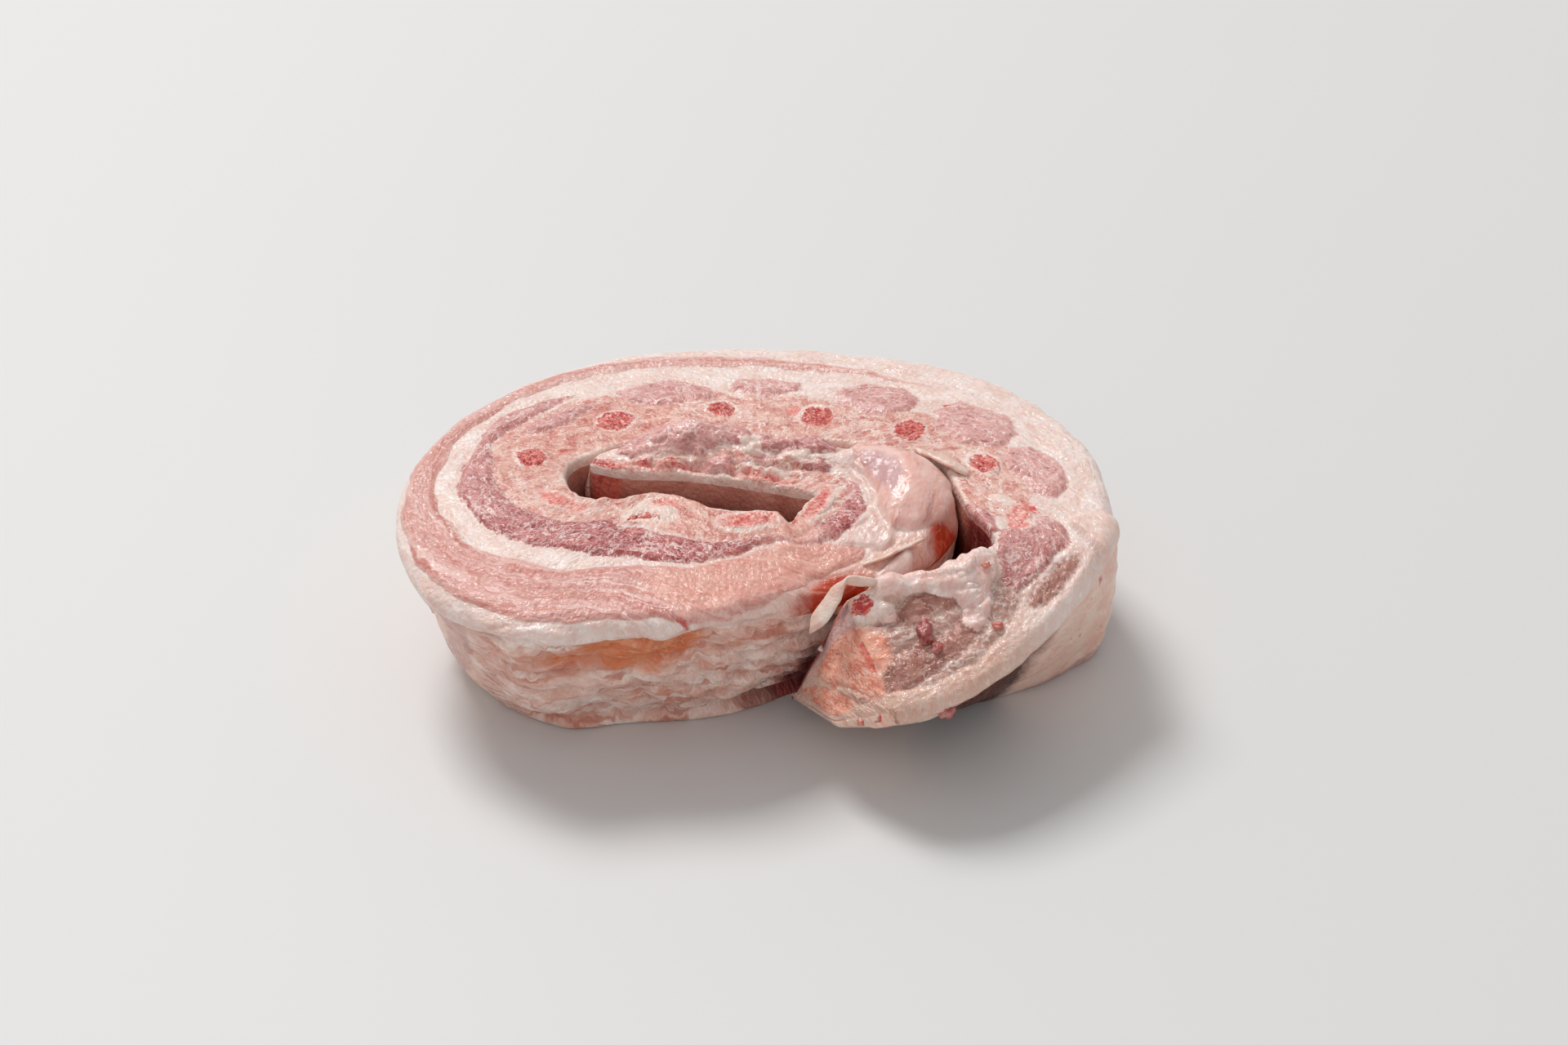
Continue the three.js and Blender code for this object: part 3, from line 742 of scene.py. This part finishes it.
# How each tissue looks, from the lowest coat of paint up: two colours and the size of the cloud that
# turns one into the other, in mm along, across and up the strip; two more where it is deep in colour;
# how ragged and how soft its edge is, in mm; how strongly it covers; streaks over it, each with its
# colour and size, its strength and the two levels of its noise where they aren't the usual ones; veins,
# thin lines along the middle level of a noise; and cells, the thin seams of a cell pattern. Veins and
# cells have a size, a width, a colour and a strength.
grain, grainLevels = (0.9, 0.8, 2), (0.54, 0.66)
tissues = {
    "fat": dict(colours="#f6e2da #eecdc1", size=(9, 6, 9),
        streaks=[("#fffaf6", grain, 0.5, grainLevels), ("#e6b5a6", (6, 1.2, 6))]),
    "warmFat": dict(colours="#e4c2b0 #d7a996", size=(9, 7, 9), ragged=2, soft=9, strength=0.85,
        streaks=[("#fbe6da", grain, 0.4, grainLevels), ("#d97f5c", (1.2, 1.2, 1.2), 0.6, (0.63, 0.67))]),
    "ribMeat": dict(colours="#f3cbbd #cb7468", size=(6, 4.5, 9), ragged=1.6, soft=0.8,
        streaks=[("#e2a191", (16, 10, 20), 0.6, (0.48, 0.6)),
            ("#f4cbb8", (3, 2.2, 6), 0.6, (0.55, 0.66)), ("#c26a60", (1.5, 1.1, 4), 0.6, (0.55, 0.66)),
            ("#ffece2", grain, 0.4, grainLevels)],
        veins=[((9, 6, 9), 0.02, "#fdeee4", 0.9), ((3, 2, 5), 0.025, "#fbe3d8", 0.4)]),
    "redMeat": dict(colours="#eab4a3 #c4685b", size=(6, 4.5, 9), ragged=2, soft=3, strength=0.8,
        streaks=[("#f6d0be", (3, 2.2, 6), 0.6, (0.55, 0.66)),
            ("#b95a50", (1.5, 1.1, 4), 0.6, (0.55, 0.66))],
        veins=[((6, 4, 8), 0.025, "#fbe3d8", 0.8)]),
    "greyFat": dict(colours="#b8877b #cda496", size=(5, 4, 5), ragged=1.6, soft=1.6, strength=0.9,
        streaks=[("#f0dcd2", (3, 1.2, 3), 0.7, (0.54, 0.64)), ("#99665c", (4, 3, 3), 0.5, (0.55, 0.66))],
        veins=[((7, 5, 9), 0.025, "#f6e6de", 0.8)]),
    "endLean": dict(colours="#9a5d50 #bd8677", size=(5, 3.4, 5), ragged=1.4, soft=0.8, strength=0.92,
        streaks=[("#7c4038", (2.4, 1.4, 3)), ("#d8b0a2", (3, 2, 3), 0.5, (0.55, 0.68))],
        veins=[((6, 4, 6), 0.02, "#e8cdc0", 0.7)]),
    "dark": dict(colours="#d6958e #eab8b0", deep="#9a3b3d #c66a67", size=(6, 3.4, 9),
        ragged=1.6,
        streaks=[("#98474a", (2.4, 1.2, 4), 0.6), ("#f6d2ca", (1.2, 0.9, 3), 0.5, (0.55, 0.66))],
        veins=[((9, 5, 9), 0.02, "#fae4de", 0.85), ((3.5, 1.4, 5), 0.015, "#f6d8d1", 0.6)],
        cells=((5, 2.6, 6), 0.07, "#f4cfc8", 0.35)),
    "pale": dict(colours="#d8968b #edc4bb", size=(40, 2.6, 20), ragged=0.35,
        streaks=[("#fbe2d9", (60, 0.6, 20), 0.6, (0.55, 0.64)),
            ("#bf6e60", (60, 0.8, 20), 0.6, (0.56, 0.64)),
            ("#cb8075", (70, 1.6, 20), 0.55, (0.54, 0.62)), ("#f9dad1", (1.3, 3, 9), 0.35, (0.55, 0.64)),
            ("#d48372", (12, 6, 9), 0.5, (0.55, 0.68))]),
    "salmon": dict(colours="#e39d8b #eeb9a9", size=(12, 6, 9), ragged=1, soft=5, strength=0.85,
        streaks=[("#f7cdbd", (9, 2, 9)), ("#cf7663", (14, 0.8, 9), 0.4, (0.56, 0.66))]),
    "brown": dict(colours="#b03014 #c95034", size=(9, 3, 9), ragged=0.8, soft=1.5,
        streaks=[("#eeb49c", (12, 0.8, 9)), ("#9c3f2c", (9, 2, 9))]),
    "lobe": dict(colours="#e8b0a3 #f3ccc2", size=(14, 5, 9), ragged=0.4, soft=0.8,
        streaks=[("#f8dcd3", (14, 0.8, 6)), ("#cb7f72", (10, 1.4, 6))]),
    "endMuscle": dict(colours="#fbb79d #dd8069", size=(9, 5, 6), ragged=1.4, soft=1.2, strength=0.95,
        streaks=[("#b05844", (4, 3, 3)), ("#f9cdbb", (3, 2, 2), 0.5, (0.56, 0.66))],
        veins=[((9, 7, 5), 0.015, "#fbe2d6", 0.8)]),
    "film": dict(colours="#b58b92 #cfa6a8", size=(8, 5, 8), ragged=0.8, soft=1.2, strength=0.75,
        streaks=[("#e6ccca", (6, 1, 6))]),
    "fascia": dict(colours="#f2ddd5 #e2bcb1", size=(6, 1.6, 5), ragged=1.2, soft=0.8, strength=0.92,
        streaks=[("#d99484", (6, 0.8, 6), 0.5, (0.56, 0.66))]),
    "whiteFat": dict(colours="#f9e4d9 #efcdbf", size=(3, 3, 9), ragged=0.8),
    "fatLobe": dict(colours="#fbe1d9 #f0c3b8", size=(5, 4, 9), ragged=0.7,
        streaks=[("#dc9f90", (2.5, 2.5, 4), 0.5, (0.56, 0.7)),
            ("#fff6f0", (1.5, 1, 2), 0.5, (0.55, 0.66))]),
    "rimFlap": dict(colours="#f8e1d7 #efcbbe", size=(6, 6, 9), ragged=0.6, soft=1.4),
    "bone": dict(colours="#fce8de #f2cbbd", size=(2.4, 1.8, 3), ragged=1.1, soft=0.6, strength=0.9,
        streaks=[("#fff2ea", grain, 0.6, grainLevels)]),
    "marrow": dict(colours="#c2222c #f08c7d", size=(1.8, 1.4, 2), ragged=2.2, soft=0.35,
        streaks=[("#7c0e1a", (0.8, 0.8, 1), 0.8, (0.52, 0.6)),
            ("#fbc8b9", (0.9, 0.9, 1), 0.7, (0.55, 0.63))]),
    "paleMarrow": dict(colours="#e06660 #f8b8a9", size=(2.4, 1.8, 2), ragged=1.8, soft=0.8,
        streaks=[("#c0303a", (0.8, 0.8, 1), 0.7, (0.55, 0.64)), ("#fdd9cc", (1, 1, 1), 0.6, (0.54, 0.64))]),
    "pleuraRim": dict(colours="#fae6db #f0cabc", size=(8, 2, 9), ragged=0.6),
    "paleWall": dict(colours="#dfa090 #c98271", size=(12, 12, 8), ragged=0.5,
        streaks=[("#c96a5a", (9, 9, 30), 0.5, (0.56, 0.7))]),
    # rib skin low in the hollow of the coil: its own dark red and painted shade together
    "pleuraAndShade": dict(colours="#8c3c30 #5a1b14", size=(12, 12, 14), ragged=2, soft=6, strength=0.92,
        streaks=[("#400e0a", (6, 6, 40), 0.5, (0.56, 0.7))]),
    "rind": dict(colours="#fbd9c8 #f2bfab", size=(9, 9, 6), ragged=0.8,
        streaks=[("#d57a5c", (1.8, 1.8, 2.2), 0.75, (0.665, 0.7)),
            ("#fae4d8", (5, 5, 8), 0.5, (0.56, 0.7))]),
    "tornFat": dict(colours="#fbe2d7 #da9c88", size=(16, 16, 6), ragged=0.8,
        streaks=[("#fff2ea", (9, 9, 1.6), 0.6, (0.56, 0.66)),
            ("#c47864", (14, 14, 2.4), 0.7, (0.55, 0.64))]),
    "orangeFat": dict(colours="#d66c38 #e48d60", size=(8, 8, 4), ragged=1.8, soft=2.6, strength=0.92,
        streaks=[("#f6c09a", (5, 5, 0.8))]),
    # painted shade, not a tissue: dark purple-brown at the foot of the rind side
    "paintedUndersideShade": dict(colours="#b07468 #8a4c42", size=(8, 8, 4), ragged=1.5, soft=3, strength=0.8),
    # purple-pink skin, darker where it is painted shade on the left of the rind side
    "skinEdgeAndShade": dict(colours="#dcaca2 #b98881", size=(5, 5, 8), ragged=1.2, soft=1.2, strength=0.8,
        streaks=[("#edc9bd", (2, 2, 6), 0.5, (0.55, 0.66))]),
    # dark raw red; at the foot of the rind side it is painted shade as well
    "rawRedAndShade": dict(colours="#a0413a #6a2528", size=(7, 7, 9), ragged=1.0, soft=2.5, strength=0.95,
        streaks=[("#d08070", (3, 3, 20), 0.6, (0.55, 0.68))]),
    # painted shade, not a tissue: the dark red-brown of the rind drawn in under the outer end
    "deepShade": dict(colours="#3a0e06 #6c2c16", size=(9, 9, 12), ragged=1.5, soft=3),
    "bloodStain": dict(colours="#dc5a4c #ec8672", size=(3, 3, 6), ragged=1.2, soft=1.2, strength=0.8,
        streaks=[("#b0242a", (1.2, 1.2, 9), 0.7, (0.55, 0.64))]),
    "blood": dict(colours="#b8202a #dc4a3c", size=(2, 2, 2), ragged=0.5, strength=0.85),
}


cloudLevels = (0.38, 0.62)  # of the noise that turns a tissue's first colour into its second
plainSoftness = 0.3  # mm


def paintTissue(tree, flat, look):  # the colour of one tissue
    def spread(size):
        return addNode(tree, "Mapping", {"Vector": flat, "Scale": [1 / s for s in size]}).outputs[0]

    def over(colour, level, low, high, strength, tint):
        return mixNode(tree, rangeNode(tree, level, low, high, 0, strength), colour, tint)

    def clouded(shades):
        first, second = (linear(shade) for shade in shades.split())
        return over(first, clouds, *cloudLevels, 1, second)

    def streaked(colour, tint, size, strength=0.5, levels=(0.56, 0.68)):
        level = noiseNode(tree, spread(size), 1, Detail=3, Distortion=0.4)
        return over(colour, level, *levels, strength, linear(tint))

    clouds = noiseNode(tree, spread(look["size"]), 1, Detail=5, Roughness=0.65)
    colour = clouded(look["colours"])
    if "deep" in look:
        deep = addNode(tree, "Attribute", attribute_name="deep").outputs["Fac"]
        colour = over(colour, deep, 0, 1, 1, clouded(look["deep"]))
    for streak in look.get("streaks", []):
        colour = streaked(colour, *streak)
    for size, width, tint, strength in look.get("veins", []):
        level = mathNode(tree, "SUBTRACT", noiseNode(tree, spread(size), 1, Detail=4), 0.5)
        colour = over(colour, mathNode(tree, "ABSOLUTE", level), width, 0, strength, linear(tint))
    if "cells" in look:
        size, width, tint, strength = look["cells"]
        seam = addNode(tree, "TexVoronoi", {"Vector": spread(size), "Scale": 1}, feature="DISTANCE_TO_EDGE")
        colour = over(colour, seam.outputs["Distance"], width, 0, strength, linear(tint))
    return colour


def makeMeatMaterial():
    # raw pork, freshly cut: wet, so it glistens in points, and light goes a mm or two into it
    material, tree = newMaterial("freshPork")
    flat = addNode(tree, "Attribute", attribute_name="flat").outputs["Vector"]
    fine = noiseNode(tree, flat, 0.9, Detail=3)
    # the patterns sway by a few mm, so that none runs dead straight
    sway = addNode(tree, "TexNoise", {"Vector": flat, "Scale": 0.3, "Detail": 2}).outputs["Color"]
    sway = addNode(tree, "VectorMath", {0: sway, 1: (0.5, 0.5, 0.5)}, operation="SUBTRACT").outputs[0]
    sway = {0: sway, 1: (6, 4, 6), 2: flat}
    sway = addNode(tree, "VectorMath", sway, operation="MULTIPLY_ADD").outputs[0]
    colour, masks = None, {}
    for name, look in tissues.items():
        own = paintTissue(tree, sway, look)
        if colour is None:
            colour = own
            continue
        inside = addNode(tree, "Attribute", attribute_name=name).outputs["Fac"]
        moved = mathNode(tree, "ADD", inside, rangeNode(tree, fine, 0, 1, -look["ragged"], look["ragged"]))
        soft = look.get("soft", plainSoftness)
        masks[name] = rangeNode(tree, moved, -soft, soft, 0, look.get("strength", 1),
                                interpolation_type="SMOOTHSTEP")
        colour = mixNode(tree, masks[name], colour, own)
    # fine grit all over and ridges across the pale lean, both weaker on the slick parts by the fold
    slick = mathNode(tree, "MAXIMUM", masks["lobe"], masks["fascia"])
    grit = noiseNode(tree, flat, 0.75, Detail=2)
    narrow = addNode(tree, "Mapping", {"Vector": flat, "Scale": (1 / 1.1, 1 / 5, 1 / 9)}).outputs[0]
    ridges = noiseNode(tree, narrow, 1, Detail=1)
    height = mathNode(tree, "MULTIPLY_ADD", ridges, mathNode(tree, "MULTIPLY", masks["pale"], 0.4), grit)
    rough = rangeNode(tree, slick, 0, 1, 1, 0.5)
    coverWithMeat(tree, height, rough, 0.0007, {
        "Base Color": colour, "Roughness": rangeNode(tree, fine, 0.35, 0.65, 0.3, 0.55), "IOR": 1.38,
        "Subsurface Radius": (1, 0.42, 0.28), "Specular IOR Level": 0.2, "Coat Weight": 0.38,
        "Coat Roughness": 0.06,
    })
    return material


freshPork = makeMeatMaterial()
points, faces, fields = makeBelly()
bellyStrip = meshFrom("belly_strip", points, faces, fields, freshPork)
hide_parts("fat", "outer_lean", "inner_lean", "rib_meat", "fold_muscle", "brown_muscle")
print("strip made", len(points), sum(len(part) * (part.shape[1] - 2) for part in faces))


def makeRib(rib, number):
    # an oval prism through the strip; its sawn end follows the cut face, a little above it in the
    # middle and below it at the edge, so that bone and meat meet without a step
    u0, v0, halfLength, halfBreadth = rib
    turn = turns(ribs["sides"])
    fill = np.linspace(0.08, 1, ribs["fillRings"])
    sides = np.linspace(0, 1, ribs["rings"])
    reach = np.concatenate([fill, np.ones(len(sides)), fill[::-1]])[:, None]
    w = np.concatenate([0 * fill, sides, np.ones(len(fill))])[:, None] + 0 * turn
    stationLength = np.linalg.norm(placeAt(u0 - 0.5, v0, 1) - placeAt(u0 + 0.5, v0, 1))
    wobble = 1 + 0.1 * np.sin(2 * turn + number) + 0.06 * np.sin(3 * turn + 2 * number)
    u = u0 + reach * np.cos(turn) * wobble * halfLength / stationLength
    v = v0 + reach * np.sin(turn) * wobble * halfBreadth / thicknessAt(u0)
    u = np.clip(u, ribs["endClearance"], lastStation - ribs["endClearance"])
    v = np.clip(v, ribs["sideClearance"], 1)
    f = fieldsAt(u, v, w)
    rings = placeAt(u, v, w)
    lens = ribs["raised"] - ribs["sunk"] * smooth(0.55, 1.0, reach) + 0 * turn
    rings[..., 2] += np.where(w > 0.999, reliefAt(u, v, w, f) + lens, -0.5 * (w > 0.5))
    points, faces = closedRings(rings)
    fields = {}
    for name, value in f.items():
        ends = np.stack([value[0].mean(0), value[-1].mean(0)])
        fields[name] = np.concatenate([value.reshape(-1, *value.shape[2:]), ends])
    piece = meshFrom(f"sawn_rib_{number + 1:02d}", points, faces, fields, freshPork)
    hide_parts(f"rib_{number + 1:02d}")


for number, rib in enumerate(ribs["list"]):
    makeRib(rib, number)
print("ribs made")


def makeScrapMaterial(name, base, tint, size):
    # a scrap of fat or lean, wet, with a cloud of a second colour in it, of that size in mm
    material, tree = newMaterial(name)
    place = addNode(tree, "TexCoord").outputs["Object"]
    cloud = rangeNode(tree, noiseNode(tree, place, 1 / (size * mm), Detail=4), *cloudLevels)
    grit = noiseNode(tree, place, 1400, Detail=3)
    coverWithMeat(tree, grit, 0.5, 0.0005, {
        "Base Color": mixNode(tree, cloud, linear(base), linear(tint)), "Roughness": 0.38,
        "Subsurface Radius": (1, 0.45, 0.3), "Coat Weight": 0.3, "Coat Roughness": 0.15,
    })
    return material


softFat = makeScrapMaterial("softFat", "#f0dccf", "#e2b9a8", 4)
leanCrumb = makeScrapMaterial("leanCrumb", "#dd9482", "#c4695c", 2)
clottedBlood = makeScrapMaterial("clottedBlood", "#c8837a", "#9c3a3a", 2.5)

# Loose strips of fat: points of the middle line, half breadth at each of them and half thickness, all
# in mm, and the way that the breadth lies.
fatStrips = {
    "curled_strip": {
        "route": [(32, -47.1, 45), (26.6, -47.8, 46.5), (21.7, -47.8, 46.5), (18.2, -50.6, 43),
                  (15.2, -52.8, 39.3), (12.9, -54.1, 35.8)],
        "breadth": (1.2, 1.6, 1.7, 2.6, 2.4, 0.5), "thickness": 0.8, "side": (0.8, -0.1, 0.6)},
    "cavity_flap": {
        "route": [(42, 12.2, 47.2), (47, 7.8, 48.2), (51.5, 3.4, 48), (55, -0.5, 47.4)],
        "breadth": (1.2, 2.6, 2.8, 1.2), "thickness": 1.1, "side": (0.6, 0.7, -0.35)},
    "white_strip": {
        "route": [(26.5, -33.8, 42), (32, -31.6, 42.6), (37, -28.5, 43.4), (42.5, -25.6, 44)],
        "breadth": (0.8, 1.5, 1.2, 0.5), "thickness": 0.6, "side": (0.3, -0.7, 0.5)},
}


stripStations, stripSides = 36, 28


def makeStrip(name, look, material):
    # an oval section carried along a smooth line, turned so that its breadth lies along side
    def carried(values):
        return along(list(enumerate(values)), stations)

    stations = np.linspace(0, len(look["route"]) - 1, stripStations)
    route = np.stack([carried(axis) for axis in zip(*look["route"])], -1)
    onward = np.gradient(route, axis=0)
    facing = unit(np.cross(onward, look["side"]))
    sideways = unit(np.cross(facing, onward))
    taper = np.sqrt(1 - np.linspace(-0.98, 0.98, stripStations) ** 6)
    breadth = carried(look["breadth"]) * taper
    turn = turns(stripSides)
    rings = route[:, None] + sideways[:, None] * (np.cos(turn) * breadth[:, None])[..., None]
    rings += facing[:, None] * (np.sin(turn) * look["thickness"] * taper[:, None])[..., None]
    rings += 0.35 * facing[:, None] * fractalAt(rings, (4, 4, 4), 2, 90)[..., None]
    points, faces = closedRings(rings)
    piece = meshFrom(name, points, faces, {}, material)


for name, look in fatStrips.items():
    makeStrip(name, look, softFat)

# Crumbs and clots that lie on the meat: u, v, w, three half sizes in mm, and the material.
crumbs = {
    "clot_lump": (0.98, 0.42, 1.0, (1.9, 3.4, 2.2), clottedBlood),
    "clot_tail": (1.1, 0.57, 1.0, (1.3, 2.0, 1.1), clottedBlood),
    "crumb_01": (2.24, 0.65, 1.0, (1.5, 1.2, 1.0), leanCrumb),
    "crumb_02": (1.06, 1.0, 0.9, (2.0, 2.0, 1.9), clottedBlood),
    "crumb_03": (0.05, 0.9, 0.3, (1.0, 1.2, 1.0), leanCrumb),
    "crumb_04": (0.02, 0.95, 0.45, (1.1, 1.3, 1.0), leanCrumb),
    "crumb_05": (0.02, 0.35, 0.35, (0.8, 1.0, 0.8), leanCrumb),
    "crumb_06": (2.44, 0.2, 1.05, (1.2, 0.8, 0.8), leanCrumb),
    "crumb_07": (0.01, 0.06, 0.55, (0.8, 0.9, 0.8), softFat),
    "crumb_08": (11.32, 1.0, 0.33, (0.9, 0.8, 1.2), softFat),
}


crumbRings, crumbSides = 18, 24


def makeCrumb(name, u, v, w, sizes, material):
    # a ball of rings, pulled out of round by noise, with its middle at that place in the meat
    slope = np.linspace(0.04, np.pi - 0.04, crumbRings)[:, None]
    turn = turns(crumbSides)
    around = [np.sin(slope) * np.cos(turn), np.sin(slope) * np.sin(turn), np.cos(slope) + 0 * turn]
    ball = np.stack(around, -1)
    ball *= 1 + 0.45 * fractalAt(ball + 3 * u + v, (0.9, 0.9, 0.9), 2, 95)[..., None]
    points, faces = closedRings(placeAt(u, v, w) + ball * sizes)
    piece = meshFrom(name, points, faces, {}, material)


for name, (u, v, w, sizes, material) in crumbs.items():
    makeCrumb(name, u, v, w, sizes, material)
print("scraps made")

# Floor, light and camera, in metres, watts and degrees
studio = {
    "floor": "#dad9d8 #dcdbda",
    "floorCorners": [(-4, -3, 0), (4, -3, 0), (4, 6, 0), (-4, 6, 0)],
    "world": 0.46,
    "lights": {  # place, size and power
        "key": ((-1.5, 2.6, 4), 1.7, 160),
        "fill": ((-0.5, -2.4, 2), 2, 8),
        "spark": ((-1.5, 2.6, 4), 0.5, 60),  # for the glints alone
    },
    "camera": (0.007, -0.49387, 0.35371),
    "down": 33,
    "roll": 0.8,
    "sensorWidth": 36,  # mm
    "focalLength": 2732,  # pixels of a picture that is pictureWidth across
    "pictureWidth": 1920,
}

floorMaterial, tree = newMaterial("paleBoard")
mottle = noiseNode(tree, addNode(tree, "TexCoord").outputs["Object"], 3)
tone = mixNode(tree, mottle, *(linear(shade) for shade in studio["floor"].split()))
coverWith(tree, {"Base Color": tone, "Roughness": 0.6})
floorMesh = bpy.data.meshes.new("floor")
floorMesh.from_pydata(studio["floorCorners"], [], [(0, 1, 2, 3)])
floorMesh.materials.append(floorMaterial)
addObject("floor", floorMesh)

world = bpy.data.worlds.new("studio")
world.use_nodes = True
background = world.node_tree.nodes["Background"]
background.inputs["Color"].default_value = (1, 1, 1, 1)
background.inputs["Strength"].default_value = studio["world"]
bpy.context.scene.world = world
bpy.context.scene.view_settings.view_transform = "Standard"

for name, (place, size, power) in studio["lights"].items():
    light = bpy.data.lights.new(name, "AREA")
    light.shape = "SQUARE"
    light.size = size
    light.energy = power
    lamp = addObject(name, light)
    lamp.location = place
    lamp.visible_diffuse = name != "spark"
    lamp.rotation_euler = (-Vector(place)).to_track_quat("-Z", "Y").to_euler()

cameraData = bpy.data.cameras.new("camera")
cameraData.sensor_width = studio["sensorWidth"]
cameraData.lens = studio["sensorWidth"] * studio["focalLength"] / studio["pictureWidth"]
camera = addObject("camera", cameraData)
down, roll = math.radians(studio["down"]), math.radians(studio["roll"])
right = np.array([1, 0, 0])
up = np.array([0, math.sin(down), math.cos(down)])
ahead = np.array([0, math.cos(down), -math.sin(down)])
axisX = math.cos(roll) * right - math.sin(roll) * up
axisY = math.sin(roll) * right + math.cos(roll) * up
turned = Matrix(np.stack([axisX, axisY, -ahead], 1).tolist()).to_4x4()
camera.matrix_world = Matrix.Translation(studio["camera"]) @ turned
bpy.context.scene.camera = camera
print("studio made")
